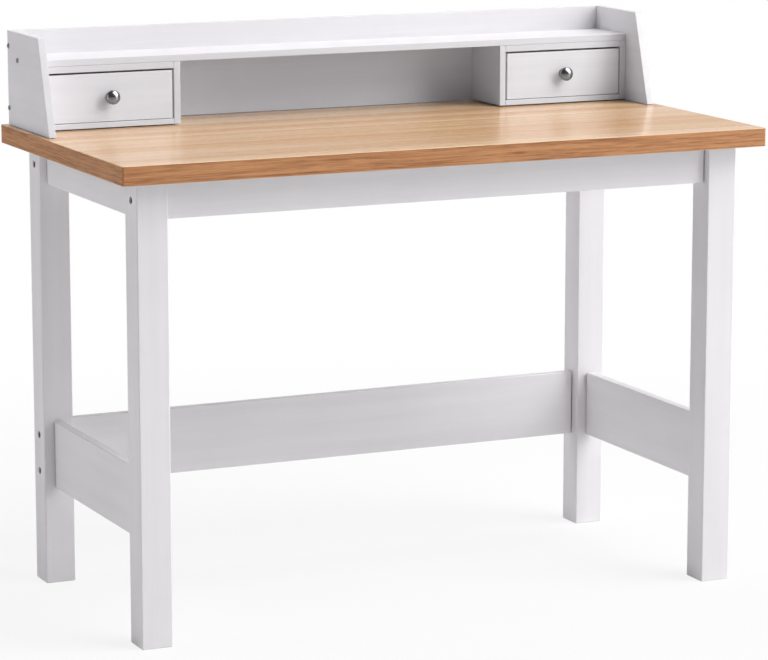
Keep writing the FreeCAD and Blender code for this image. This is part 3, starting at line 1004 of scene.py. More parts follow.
@dataclass(frozen=True)
class Cut:
    """A straight round hole or square slot."""

    centre: Vector
    axis: Vector
    size: Vector
    form: CutForm

    @classmethod
    def hole(cls, start: Vector, axis: Vector, depth: float, diameter: float) -> "Cut":
        """A round hole from a start point inwards."""
        size = Vector((diameter, diameter, depth))
        return cls(start + axis * depth / 2, axis, size, CutForm.ROUND)

    @classmethod
    def slot(cls, low: Vector, high: Vector) -> "Cut":
        """A square slot between two corners."""
        return cls((low + high) / 2, Vector((0, 0, 1)), high - low, CutForm.SQUARE)

    def meets(self, low: Vector, high: Vector) -> bool:
        """Whether the cut reaches into a box.

        Args:
            low: the box's lowest corner.
            high: its highest corner.

        Returns:
            True where they overlap.
        """
        half = self.size / 2
        if self.form is CutForm.ROUND:
            half = Vector(half.z if round(abs(part)) else half.x for part in self.axis)
        return all(
            self.centre[i] + half[i] > low[i] and self.centre[i] - half[i] < high[i]
            for i in range(len(Axis))
        )


END_SLICE = 0.0002


def off_axis(offset: Vector, along: int) -> float:
    """How far an offset reaches from the axis with this index."""
    return math.hypot(*(offset[i] for i in range(len(Axis)) if i != along))


@dataclass(frozen=True)
class Fixing:
    """A bolt, screw, nut or dowel where it lies.

    Its seat is the middle of its outer end, and its axis points to its tip.
    """

    seat: Vector
    axis: Vector
    length: float
    wide: float
    slim: float

    @classmethod
    def measured(cls, points: list[Vector]) -> "Fixing":
        """Measures a fixing.

        Args:
            points: the points of its solid.

        Returns:
            The fixing, its head at the end of its wider half.
        """
        low, high = span_of(points)
        along = max(Axis, key=lambda axis: (high - low)[axis.value]).value
        middle = (low + high) / 2
        length = high[along] - low[along]

        def radius(end: float, reach: float) -> float:
            """The widest radius within a reach of an end."""
            return max(off_axis(p - middle, along) for p in points if abs(p[along] - end) < reach)

        head, tip = low[along], high[along]
        if radius(tip, length / 2) > radius(head, length / 2):
            head, tip = tip, head
        seat, axis = middle.copy(), Vector((0, 0, 0))
        seat[along] = head
        axis[along] = math.copysign(1, tip - head)
        return cls(seat, axis, length, 2 * radius(head, length), 2 * radius(tip, END_SLICE))

    def bore(self, start: float, end: float, diameter: float) -> Cut:
        """A round hole between two distances from the seat."""
        return Cut.hole(self.seat + self.axis * start, self.axis, end - start, diameter)


BARREL_HOLE_REACH = 0.02
HEAD_OUTSETS = {Style.SUNK_SCREW: 0.001, Style.SOCKET_BOLT: 0.004}


@dataclass(frozen=True)
class FixingKind:
    """What the fixings in one node have in common: their making, finish and holes."""

    node: str
    style: Style
    finish: Finish
    head_height: float = 0.0
    grain: Axis = Axis.X
    round_steps: int = 24
    hole_gap: float = 0.00005
    head_gap: float = 0.00005
    outset: float = 0.001

    def fixings(self) -> list[Fixing]:
        """Every fixing of the node, as measured.

        Returns:
            The fixings, and for barrel nuts each with its slotted end to the rear.
        """
        found = [Fixing.measured(points) for points in solids_of(self.node)]
        if self.style is not Style.BARREL_NUT:
            return found
        return [self.opened_behind(nut) for nut in found]

    @staticmethod
    def opened_behind(nut: Fixing) -> Fixing:
        """A barrel nut with its slotted end to the rear."""
        rear = nut.seat + nut.axis * nut.length if nut.axis.y > 0 else nut.seat
        return Fixing(rear, Vector((0, -1, 0)), nut.length, nut.wide, nut.slim)

    def holes(self, fixing: Fixing) -> list[Cut]:
        """The holes of one fixing: a plain bore, or its shank's hole and its head's.

        Args:
            fixing: the fixing.

        Returns:
            The cuts.
        """
        bore = fixing.wide + 2 * self.hole_gap
        if self.style is Style.BARREL_NUT:
            return [fixing.bore(-BARREL_HOLE_REACH, fixing.length, bore)]
        if self.style is Style.DOWEL:
            return [fixing.bore(-self.outset, fixing.length + self.outset, bore)]
        shank = fixing.slim + 2 * self.hole_gap
        found = [fixing.bore(self.head_height / 2, fixing.length + self.outset, shank)]
        if self.style in HEAD_OUTSETS:
            head = fixing.wide + 2 * self.head_gap
            found.append(fixing.bore(-HEAD_OUTSETS[self.style], self.head_height, head))
        return found

    def cuts(self) -> list[Cut]:
        """The holes of every fixing of the node."""
        return [cut for fixing in self.fixings() for cut in self.holes(fixing)]


# Geometry trees


class Model(Graph):
    """A geometry tree with named inputs, for what repeats."""

    def __init__(self, name: str, sizes: dict[str, float], others: dict[str, str]) -> None:
        """Makes the tree and its inputs.

        Args:
            name: the tree's name.
            sizes: each size's name and usual value.
            others: each other input's name and socket type.
        """
        super().__init__(bpy.data.node_groups.new(name, "GeometryNodeTree"))
        face = self.tree.interface
        face.new_socket("Geometry", in_out="INPUT", socket_type="NodeSocketGeometry")
        for size, usual in sizes.items():
            made = face.new_socket(size, in_out="INPUT", socket_type="NodeSocketFloat")
            made.default_value = usual
        for other, kind in others.items():
            face.new_socket(other, in_out="INPUT", socket_type=kind)
        face.new_socket("Geometry", in_out="OUTPUT", socket_type="NodeSocketGeometry")
        self.entry = self.node("NodeGroupInput")

    def given(self, name: str) -> Socket:
        """The socket of a named input."""
        return self.entry.outputs[name]

    def size(self, name: str) -> Value:
        """A named size as a value."""
        return Value(self, self.given(name))

    def index(self) -> Value:
        """The number of each point."""
        return Value(self, self.node("GeometryNodeInputIndex").outputs[0])

    def mark(self, name: str, kind: str = "FLOAT_VECTOR") -> Socket:
        """What the points carry under a name."""
        made = self.node("GeometryNodeInputNamedAttribute", {"data_type": kind}, {"Name": name})
        return find_socket(made.outputs, "Attribute")

    def pick(self, index: Value, choices: Sequence[Amount]) -> Value:
        """The choice with an index.

        Args:
            index: which one.
            choices: what to choose from.

        Returns:
            The choice.
        """
        made = self.node("GeometryNodeIndexSwitch", {"data_type": "FLOAT"})
        for _ in choices[len(made.index_switch_items):]:
            made.index_switch_items.new()
        self.feed(made, {"Index": index, **{f"Item_{i}": c for i, c in enumerate(choices)}})
        return Value(self, made.outputs[0])

    def placed(self, geometry: Socket, place: Socket) -> Socket:
        """Geometry with its points at other places."""
        inputs = {"Geometry": geometry, "Position": place}
        return self.node("GeometryNodeSetPosition", inputs=inputs).outputs[0]

    def turned(self, outline: Outline, steps: int, flute: float = 0.0) -> Socket:
        """A closed solid turned about Z.

        Args:
            outline: radius and height of each point, from the pole at Z 0 to the other pole.
            steps: points round the axis, an even number.
            flute: how deep every other line of points lies, as a share of the radius.

        Returns:
            The solid's geometry.
        """
        columns = steps + 1
        grid = self.node(
            "GeometryNodeMeshGrid", inputs={"Vertices X": len(outline), "Vertices Y": columns}
        )
        index = self.index()
        row = ((index + 0.5) / columns).floor()
        column = index - row * columns
        turn = column * (2 * math.pi / steps)
        radius, height = (self.pick(row, choices) for choices in zip(*outline))
        radius = radius * (1 - (column % 2) * flute)
        place = self.vector(radius * turn.cos(), radius * turn.sin(), height)
        merged = self.node(
            "GeometryNodeMergeByDistance",
            inputs={"Geometry": self.placed(grid.outputs[0], place), "Distance": SAME_PLACE},
        )
        return merged.outputs[0]

    def block(self, size: Sequence[Amount], centre: Sequence[Amount] = ORIGIN) -> Socket:
        """A box of a size about a centre."""
        cube = self.node("GeometryNodeMeshCube", inputs={"Size": self.vector(*size)})
        return self.moved(cube.outputs[0], centre)

    def rod(
        self, radius: Amount, length: Amount, centre: Sequence[Amount] = ORIGIN,
        sides: int = 24, turn: tuple[float, float, float] = ORIGIN,
    ) -> Socket:
        """A rod, along Z until it is turned.

        Args:
            radius: its radius.
            length: its length.
            centre: its middle.
            sides: how many flat sides it has.
            turn: its turn about X, Y and Z, in radians.

        Returns:
            The rod.
        """
        inputs = {"Vertices": sides, "Radius": radius, "Depth": length}
        made = self.node("GeometryNodeMeshCylinder", inputs=inputs)
        return self.moved(made.outputs["Mesh"], centre, turn)

    def moved(
        self, geometry: Socket, centre: Sequence[Amount],
        turn: tuple[float, float, float] = ORIGIN,
    ) -> Socket:
        """Geometry turned and then moved."""
        inputs = {"Geometry": geometry, "Translation": self.vector(*centre), "Rotation": turn}
        return self.node("GeometryNodeTransform", inputs=inputs).outputs[0]

    def carved(self, body: Socket, tools: list[Socket]) -> Socket:
        """A body less its tools, which may cross each other."""
        made = self.node(
            "GeometryNodeMeshBoolean",
            {"operation": "DIFFERENCE", "solver": "EXACT"},
            {"Mesh 1": body, "Mesh 2": tools, "Self Intersection": True},
        )
        return made.outputs[0]

    def spread(
        self, points: Socket, copy: Socket, lead: str = "Z", extra: dict[str, Any] | None = None
    ) -> Socket:
        """A copy at each point, turned to the point's axis.

        Args:
            points: the marked points.
            copy: what is set at each.
            lead: the copy's direction that follows the point's axis.
            extra: more inputs of the node that sets the copies.

        Returns:
            The instances.
        """
        pivot = "AUTO" if lead == "Z" else "Z"
        turn = self.node(
            "FunctionNodeAlignRotationToVector",
            {"axis": lead, "pivot_axis": pivot},
            {"Vector": self.mark(AXIS_MARK)},
        )
        inputs = {"Points": points, "Instance": copy, "Rotation": turn.outputs[0], **(extra or {})}
        return self.node("GeometryNodeInstanceOnPoints", inputs=inputs).outputs[0]

    def dressed(self, geometry: Socket, name: str) -> Socket:
        """Real geometry in a material.

        Args:
            geometry: instances or a mesh.
            name: the input that holds the material.

        Returns:
            The geometry.
        """
        real = self.node("GeometryNodeRealizeInstances", inputs={"Geometry": geometry})
        inputs = {"Geometry": real.outputs[0], "Material": self.given(name)}
        return self.node("GeometryNodeSetMaterial", inputs=inputs).outputs[0]

    def end(self, geometry: Socket) -> None:
        """Sends geometry to the tree's output."""
        self.node("NodeGroupOutput", inputs={"Geometry": geometry})

    def run(self, piece: Piece, values: dict[str, Any]) -> None:
        """Puts the tree on a piece and turns the result into its mesh.

        Args:
            piece: the object whose geometry goes in.
            values: what each named input holds.
        """
        modifier = piece.modifiers.new(self.tree.name, "NODES")
        modifier.node_group = self.tree
        for item in self.tree.interface.items_tree:
            if item.in_out == "INPUT" and item.name in values:
                modifier[item.identifier] = values[item.name]
        settle(piece)


FIXING_SIZES = {
    "Length": 0.04,
    "Head Diameter": 0.007,
    "Head Height": 0.002,
    "Shank Diameter": 0.0035,
    "Chamfer": 0.0005,
    "Recess Span": 0.004,
    "Recess Width": 0.001,
    "Recess Depth": 0.001,
}
QUARTER_TURN = math.pi / 2
KEY_SIDES = 6
DOME_STEPS = 6
DOWEL_FLUTE = 0.03
# A cutter that goes right through is this many times the radius or thickness it crosses.
THROUGH = 4
# A pan head's rolled rim, as shares of its radius and its height.
PAN_RIM = ((0.72, 0.0), (0.9, 0.16), (1.0, 0.5), (1.0, 1.0))


class FixingModel(Model):
    """The tree that makes every fixing of one style."""

    def __init__(self, style: Style, steps: int) -> None:
        """Builds the tree.

        Args:
            style: how the fixing is made.
            steps: points round its axis.
        """
        name = f"{style.value} {steps}"
        super().__init__(name, FIXING_SIZES, {"Material": "NodeSocketMaterial"})
        self.steps = steps
        self.length = self.size("Length")
        self.wide = self.size("Head Diameter") / 2
        self.slim = self.size("Shank Diameter") / 2
        self.head = self.size("Head Height")
        self.chamfer = self.size("Chamfer")
        self.span = self.size("Recess Span")
        self.width = self.size("Recess Width")
        self.recess = self.size("Recess Depth") * 2
        makers = {
            Style.SOCKET_BOLT: self.socket_bolt,
            Style.DOME_SCREW: self.dome_screw,
            Style.PAN_SCREW: self.pan_screw,
            Style.SUNK_SCREW: self.sunk_screw,
            Style.DOWEL: self.dowel,
            Style.BARREL_NUT: self.barrel_nut,
        }
        copies = self.spread(self.given("Geometry"), makers[style]())
        self.end(self.dressed(copies, "Material"))

    def top(self) -> Outline:
        """The outline of a flat outer end with a chamfer."""
        return [(0.0, 0.0), (self.wide - self.chamfer, 0.0), (self.wide, self.chamfer)]

    def tip(self, radius: Value) -> Outline:
        """The outline of a chamfered tip, from its side to its middle."""
        start = self.length - self.chamfer
        return [(radius, start), (radius - self.chamfer, self.length), (0.0, self.length)]

    def cross(self, outline: Outline) -> Socket:
        """Turns a screw and cuts the cross recess in its head.

        Args:
            outline: the screw's outline.

        Returns:
            The screw.
        """
        blades = [
            self.block((self.span, self.width, self.recess)),
            self.block((self.width, self.span, self.recess)),
        ]
        return self.carved(self.turned(outline, self.steps), blades)

    def socket_bolt(self) -> Socket:
        """A cylinder head with a hexagon socket.

        Returns:
            The bolt.
        """
        under = [(self.wide, self.head), (self.slim, self.head)]
        body = self.turned([*self.top(), *under, *self.tip(self.slim)], self.steps)
        key = self.rod(self.span / math.sqrt(3), self.recess, sides=KEY_SIDES)
        return self.carved(body, [key])

    def dome_screw(self) -> Socket:
        """A domed head with a cross recess.

        Returns:
            The screw.
        """
        ball = (self.wide * self.wide + self.head * self.head) / (self.head * 2)
        outline: Outline = [(0.0, 0.0)]
        for step in range(1, DOME_STEPS + 1):
            radius = self.wide * math.sin(QUARTER_TURN * step / DOME_STEPS)
            outline.append((radius, ball - (ball * ball - radius * radius) ** 0.5))
        return self.cross([*outline, (self.slim, self.head), *self.tip(self.slim)])

    def pan_screw(self) -> Socket:
        """A flat head with a rolled rim and a cross recess."""
        rim = [(self.wide * out, self.head * up) for out, up in PAN_RIM]
        return self.cross([(0.0, 0.0), *rim, (self.slim, self.head), *self.tip(self.slim)])

    def sunk_screw(self) -> Socket:
        """A countersunk head, flush with the board, with a cross recess."""
        cone = [(self.wide, 0.0), (self.slim, self.wide - self.slim)]
        return self.cross([(0.0, 0.0), *cone, *self.tip(self.slim)])

    def dowel(self) -> Socket:
        """A fluted pin with chamfered ends."""
        return self.turned([*self.top(), *self.tip(self.wide)], self.steps, DOWEL_FLUTE)

    def barrel_nut(self) -> Socket:
        """A short barrel, slotted at its outer end and bored across for the bolt.

        Returns:
            The nut.
        """
        across, middle = self.wide * THROUGH, (0.0, 0.0, self.length / 2)
        bore = self.rod(self.slim, across, middle, turn=(0.0, QUARTER_TURN, 0.0))
        slot = self.block((across, self.width, self.recess))
        pin = self.turned([*self.top(), *self.tip(self.wide)], self.steps)
        return self.carved(pin, [bore, slot])


BRACKET_SIZES = {
    "Reach": 0.02,
    "Width": 0.016,
    "Thickness": 0.002,
    "Bend Radius": 0.0025,
    "Hole Reach": 0.012,
    "Hole Diameter": 0.0041,
}
BEND_STEPS = 5


class BracketModel(Model):
    """The tree that bends, bores and spreads the angle brackets."""

    def __init__(self) -> None:
        """Builds the tree: a strip along an L, less its two holes."""
        super().__init__("angle bracket", BRACKET_SIZES, {"Material": "NodeSocketMaterial"})
        reach, thick = self.size("Reach"), self.size("Thickness")
        half = thick / 2
        under = 0.0 - half
        across, down = [reach, half, half], [under, under, 0.0 - reach]
        line = self.node("GeometryNodeMeshLine", {"mode": "OFFSET"}, {"Count": len(across)})
        index = self.index()
        place = self.vector(self.pick(index, across), 0.0, self.pick(index, down))
        bent = self.placed(line.outputs[0], place)
        path = self.node("GeometryNodeMeshToCurve", inputs={"Mesh": bent})
        rounded = self.node(
            "GeometryNodeFilletCurve",
            {"mode": "POLY"},
            {"Curve": path.outputs[0], "Radius": self.size("Bend Radius"), "Count": BEND_STEPS},
        )
        section = self.node(
            "GeometryNodeCurvePrimitiveQuadrilateral",
            inputs={"Width": thick, "Height": self.size("Width")},
        )
        strip = self.node(
            "GeometryNodeCurveToMesh",
            inputs={
                "Curve": rounded.outputs[0],
                "Profile Curve": section.outputs[0],
                "Fill Caps": True,
            },
        )
        radius, far = self.size("Hole Diameter") / 2, self.size("Hole Reach")
        through = thick * THROUGH
        holes = [
            self.rod(radius, through, (far, 0.0, under)),
            self.rod(radius, through, (half, 0.0, 0.0 - far), turn=(0.0, QUARTER_TURN, 0.0)),
        ]
        copies = self.spread(self.given("Geometry"), self.carved(strip.outputs[0], holes), lead="X")
        self.end(self.dressed(copies, "Material"))


HOLE_STEPS = 32


class DrillModel(Model):
    """The tree that cuts every hole and slot of a board."""

    def __init__(self) -> None:
        """Builds the tree: unit cutters, stretched at marked points, taken from the board."""
        super().__init__("drill", {}, {"Cuts": "NodeSocketObject", "Core": "NodeSocketMaterial"})
        marks = self.node("GeometryNodeObjectInfo", inputs={"Object": self.given("Cuts")})
        forms = {
            CutForm.ROUND: self.rod(0.5, 1.0, sides=HOLE_STEPS),
            CutForm.SQUARE: self.block((1.0, 1.0, 1.0)),
        }
        cutters = [
            self.node("GeometryNodeGeometryToInstance", inputs={"Geometry": forms[form]}).outputs[0]
            for form in CutForm
        ]
        # The join takes the link that was made last first.
        both = self.node("GeometryNodeJoinGeometry", inputs={"Geometry": cutters[::-1]})
        stretched = self.spread(
            find_socket(marks.outputs, "Geometry"),
            both.outputs[0],
            extra={
                "Pick Instance": True,
                "Instance Index": self.mark(FORM_MARK, "INT"),
                "Scale": self.mark(SIZE_MARK),
            },
        )
        self.end(self.carved(self.given("Geometry"), [self.dressed(stretched, "Core")]))


# The workshop: what all sub-assemblies share


@dataclass
class Workshop:
    """Holds the fixing kinds and their cuts, drills boards and hands pieces over."""

    kinds: Sequence[FixingKind]
    cuts: list[Cut] = field(init=False)
    owners: dict[str, str] = field(init=False)
    drill: DrillModel = field(default_factory=DrillModel)

    def __post_init__(self) -> None:
        """Works out every cut, and which body owns each node."""
        self.cuts = [cut for kind in self.kinds for cut in kind.cuts()]
        bodies = frame["record"]["behaviour"]["bodies"]
        self.owners = {node: body for body, nodes in bodies.items() for node in nodes}

    def bore(self, piece: Piece, extra: Iterable[Cut] = (), lining: Finish = CORE) -> None:
        """Cuts every hole that meets a board.

        Args:
            piece: the board.
            extra: cuts of the board's own, such as grooves.
            lining: the finish of the holes' walls.
        """
        low, high = span_of(vertex.co for vertex in piece.data.vertices)
        wanted = [cut for cut in self.cuts if cut.meets(low, high)] + list(extra)
        if not wanted:
            return
        marks = [Mark(cut.centre, cut.axis, cut.size, cut.form.value) for cut in wanted]
        points = marked_points(f"{piece.name}_cuts", marks)
        self.drill.run(piece, {"Cuts": points, "Core": lining.material()})
        bpy.data.objects.remove(points)

    def hand_over(self, piece: Piece, node: str, finish: Finish) -> None:
        """Rides a finished piece on its node's body, in the node's place.

        Args:
            piece: the piece.
            node: the node that it stands for.
            finish: its main finish; not used.
        """
        body = self.owners[node]
        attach(piece, body)
        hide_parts(node)
        log.info("%s: %d faces, rides on %s", piece.name, len(piece.data.polygons), body)


@dataclass(frozen=True)
class Board:
    """A square-edged board with eased edges, in the box of its node."""

    node: str
    grain: Axis
    ease: float
    finish: Finish = LACQUER
    lining: Finish = CORE
    seam: tuple[float, float, float] = ORIGIN
    lift: float = 0.0

    def corners(self) -> tuple[Vector, Vector]:
        """The board's place.

        Returns:
            Its node's corners, less a seam on both sides and a lift from below.
        """
        low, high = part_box(self.node)
        seam = Vector(self.seam)
        return low + seam + Vector((0, 0, self.lift)), high - seam

    def build(self, shop: Workshop, grooves: Iterable[Cut] = ()) -> None:
        """Makes the board, with grooves of its own."""
        self.finished(eased_box(*self.corners(), self.ease), shop, grooves)

    def finished(self, shape: Shape, shop: Workshop, grooves: Iterable[Cut] = ()) -> None:
        """Bores, dresses and hands over a board's shape.

        Args:
            shape: the board before its holes.
            shop: the workshop.
            grooves: cuts of its own.
        """
        piece = new_piece(f"{self.node}_made", new_mesh(self.node, shape))
        piece.data.materials.append(self.finish.material(self.grain))
        shop.bore(piece, grooves, self.lining)
        smooth(piece)
        shop.hand_over(piece, self.node, self.finish)


# Sub-assemblies


@dataclass
class Worktop:
    """The oak-effect board: laminate above and below, and a band round its edge."""

    node: str = "worktop"
    ease: float = 0.0014
    corner_ease: float = 0.0035
    level_share: float = 0.4

    def build(self, shop: Workshop) -> None:
        """Makes the worktop.

        Args:
            shop: the workshop.
        """
        shape = eased_box(*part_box(self.node), self.ease, self.corner_ease)
        piece = new_piece(f"{self.node}_made", new_mesh(self.node, shape))
        self.dress(piece)
        shop.bore(piece)
        smooth(piece)
        shop.hand_over(piece, self.node, OAK_TOP)

    def dress(self, piece: Piece) -> None:
        """Lays laminate on the flat faces and a band on each edge.

        Args:
            piece: the worktop before its holes.
        """
        laminate, front_band, end_band = range(3)
        for finish, grain in ((OAK_TOP, Axis.X), (OAK_BAND, Axis.X), (OAK_BAND, Axis.Y)):
            piece.data.materials.append(finish.material(grain))
        for face in piece.data.polygons:
            across, deep, up = map(abs, face.normal)
            if up > self.level_share:
                face.material_index = laminate
            else:
                face.material_index = front_band if deep > across else end_band


@dataclass
class DeskFrame:
    """The four legs and the rails between them."""

    leg_ease: float = 0.002
    rail_ease: float = 0.0015
    seam: float = 0.0016

    def boards(self) -> list[Board]:
        """The legs, aprons and stretchers.

        Returns:
            The boards.
        """
        legs = [
            Board(f"leg_{row}_{hand.word}", Axis.Z, self.leg_ease, lining=LACQUER)
            for row in ("front", "rear") for hand in Hand
        ]
        long_rails = [
            Board(node, Axis.X, self.rail_ease, seam=(self.seam, 0, 0))
            for node in ("apron_front", "apron_rear", "stretcher_rear")
        ]
        side_rails = [
            Board(f"{rail}_{hand.word}", Axis.Y, self.rail_ease, seam=(0, self.seam, 0))
            for rail in ("apron", "stretcher") for hand in Hand
        ]
        return legs + long_rails + side_rails

    def build(self, shop: Workshop) -> None:
        """Makes every board of the frame."""
        for board in self.boards():
            board.build(shop)


@dataclass
class Hutch:
    """The side panels, back, shelf and drawer carcasses that stand on the worktop."""

    ease: float = 0.0007
    top_depth: float = 0.149
    seam: float = 0.00015
    side_lift: float = 0.0006
    base_lift: float = 0.0018

    def build(self, shop: Workshop) -> None:
        """Makes the hutch's boards.

        Args:
            shop: the workshop.
        """
        seam = (self.seam, 0, self.seam)
        for hand in Hand:
            prefix = f"carcass_{hand.word}"
            self.side_panel(hand, shop)
            Board(f"{prefix}_top", Axis.X, self.ease, seam=seam).build(shop)
            for part, grain in (("bottom", Axis.X), ("inner_side", Axis.Y), ("outer_side", Axis.Y)):
                board = Board(f"{prefix}_{part}", grain, self.ease, seam=seam, lift=self.base_lift)
                board.build(shop)
        for node, lift in (("hutch_back_panel", self.side_lift), ("hutch_shelf", 0.0)):
            Board(node, Axis.X, self.ease, seam=seam, lift=lift).build(shop)

    def side_panel(self, hand: Hand, shop: Workshop) -> None:
        """Makes an end panel, whose front edge leans back.

        Args:
            hand: which end.
            shop: the workshop.
        """
        board = Board(f"hutch_side_{hand.word}", Axis.Y, self.ease, lift=self.side_lift)
        low, high = board.corners()
        outline = [
            (low.y, low.z), (high.y, low.z), (high.y, high.z), (high.y - self.top_depth, high.z)
        ]
        shape = bmesh.new()
        face = shape.faces.new([shape.verts.new((low.x, y, z)) for y, z in outline])
        grown = bmesh.ops.extrude_face_region(shape, geom=[face])["geom"]
        moved = [item for item in grown if isinstance(item, bmesh.types.BMVert)]
        bmesh.ops.translate(shape, verts=moved, vec=(high.x - low.x, 0, 0))
        bmesh.ops.recalc_face_normals(shape, faces=shape.faces)
        round_edges(shape, self.ease)
        board.finished(shape, shop)


@dataclass
class Knob:
    """A turned knob: foot, waisted neck, rim and dome."""

    foot_diameter: float = 0.0165
    foot_height: float = 0.002
    neck_diameter: float = 0.0105
    neck_height: float = 0.011
    rim_height: float = 0.003
    edge: float = 0.0003
    steps: int = 72
    flare_steps: int = 14
    dome_steps: int = 28

    def outline(self, diameter: float, projection: float) -> list[Span]:
        """The knob's outline from its foot to the crown.

        Args:
            diameter: the rim's diameter.
            projection: how far the knob stands out.

        Returns:
            Radius and height of each point.
        """
        foot, neck, wide = self.foot_diameter / 2, self.neck_diameter / 2, diameter / 2
        waist = (self.foot_height + self.neck_height) / 2
        points = [(0.0, 0.0), (foot, 0.0), (foot, self.foot_height - self.edge)]
        points.append((foot - self.edge, self.foot_height))
        for step in range(self.flare_steps + 1):
            turn = QUARTER_TURN * step / self.flare_steps
            out = neck + (wide - neck) * (1 - math.cos(turn))
            up = waist + (self.neck_height - waist) * math.sin(turn)
            points.append((out, up))
        sag = projection - self.neck_height - self.rim_height
        ball = (wide**2 + sag**2) / (2 * sag)
        half_angle = math.asin(wide / ball)
        for step in range(self.dome_steps, -1, -1):
            turn = half_angle * step / self.dome_steps
            points.append((ball * math.sin(turn), projection - ball * (1 - math.cos(turn))))
        return points

    def build(self, node: str, shop: Workshop) -> None:
        """Turns the knob in its node's place.

        Args:
            node: the node's name.
            shop: the workshop.
        """
        low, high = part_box(node)
        centre = (low + high) / 2
        shape = bmesh.new()
        chart = shape.loops.layers.uv.new(TURNED_MAP)
        turns = [2 * math.pi * step / self.steps for step in range(self.steps)]
        walked, before, last = 0.0, None, (0.0, 0.0)
        for radius, height in self.outline(high.z - low.z, high.y - low.y):
            ring = [
                shape.verts.new((
                    centre.x + radius * math.cos(turn),
                    high.y - height,
                    centre.z + radius * math.sin(turn),
                ))
                for turn in turns
            ]
            far = walked + math.dist(last, (radius, height))
            if before is not None:
                self.join(shape, chart, (before, ring), (walked, far))
            walked, before, last = far, ring, (radius, height)
        face_outwards(shape)
        piece = new_piece(f"{node}_made", new_mesh(node, shape))
        piece.data.materials.append(NICKEL.material())
        smooth(piece)
        shop.hand_over(piece, node, NICKEL)

    def join(
        self, shape: Shape, chart: Any, rings: tuple[list[Any], list[Any]], lines: Span
    ) -> None:
        """Lays the faces between two rings of points.

        Args:
            shape: the geometry.
            chart: its map layer.
            rings: the two rings.
            lines: how far along the outline each ring lies.
        """
        first, second = rings
        for step in range(self.steps):
            beside = (step + 1) % self.steps
            face = shape.faces.new((first[step], first[beside], second[beside], second[step]))
            corners = ((step, 0), (step + 1, 0), (step + 1, 1), (step, 1))
            for loop, (side, line) in zip(face.loops, corners):
                loop[chart].uv = (side / self.steps, lines[line])


@dataclass
class Drawer:
    """One drawer: a flush front on a small box with a thin bottom."""

    hand: Hand
    front_ease: float = 0.0006
    box_ease: float = 0.0004
    bottom_ease: float = 0.0002
    groove_gap: float = 0.0002
    top_relief: float = 0.0009
    inner_relief: float = 0.001
    knob: Knob = field(default_factory=Knob)

    def build(self, shop: Workshop) -> None:
        """Makes the drawer's pieces.

        Args:
            shop: the workshop.
        """
        prefix = f"drawer_{self.hand.word}"
        low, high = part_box(f"{prefix}_bottom")
        gap = UNIT * self.groove_gap
        groove = [Cut.slot(low - gap, high + gap)]
        self.front(shop, groove)
        Board(f"{prefix}_back", Axis.X, self.box_ease).build(shop, groove)
        for part in ("inner_side", "outer_side"):
            Board(f"{prefix}_{part}", Axis.Y, self.box_ease).build(shop, groove)
        Board(f"{prefix}_bottom", Axis.X, self.bottom_ease, HARDBOARD).build(shop)
        self.knob.build(f"{prefix}_knob", shop)

    def front(self, shop: Workshop, groove: list[Cut]) -> None:
        """Makes the front, planed down a little at its top and inner edges.

        Args:
            shop: the workshop.
            groove: the cut for the thin bottom.
        """
        # The front takes the lighter lacquer copy: painted light on the drawer front.
        board = Board(f"drawer_{self.hand.word}_front", Axis.X, self.front_ease, PAINTED_LIGHT_FRONT_LACQUER)
        low, high = board.corners()
        high.z -= self.top_relief
        inner = high if self.hand is Hand.LEFT else low
        inner.x += self.hand.value * self.inner_relief
        board.finished(eased_box(low, high, self.front_ease), shop, groove)


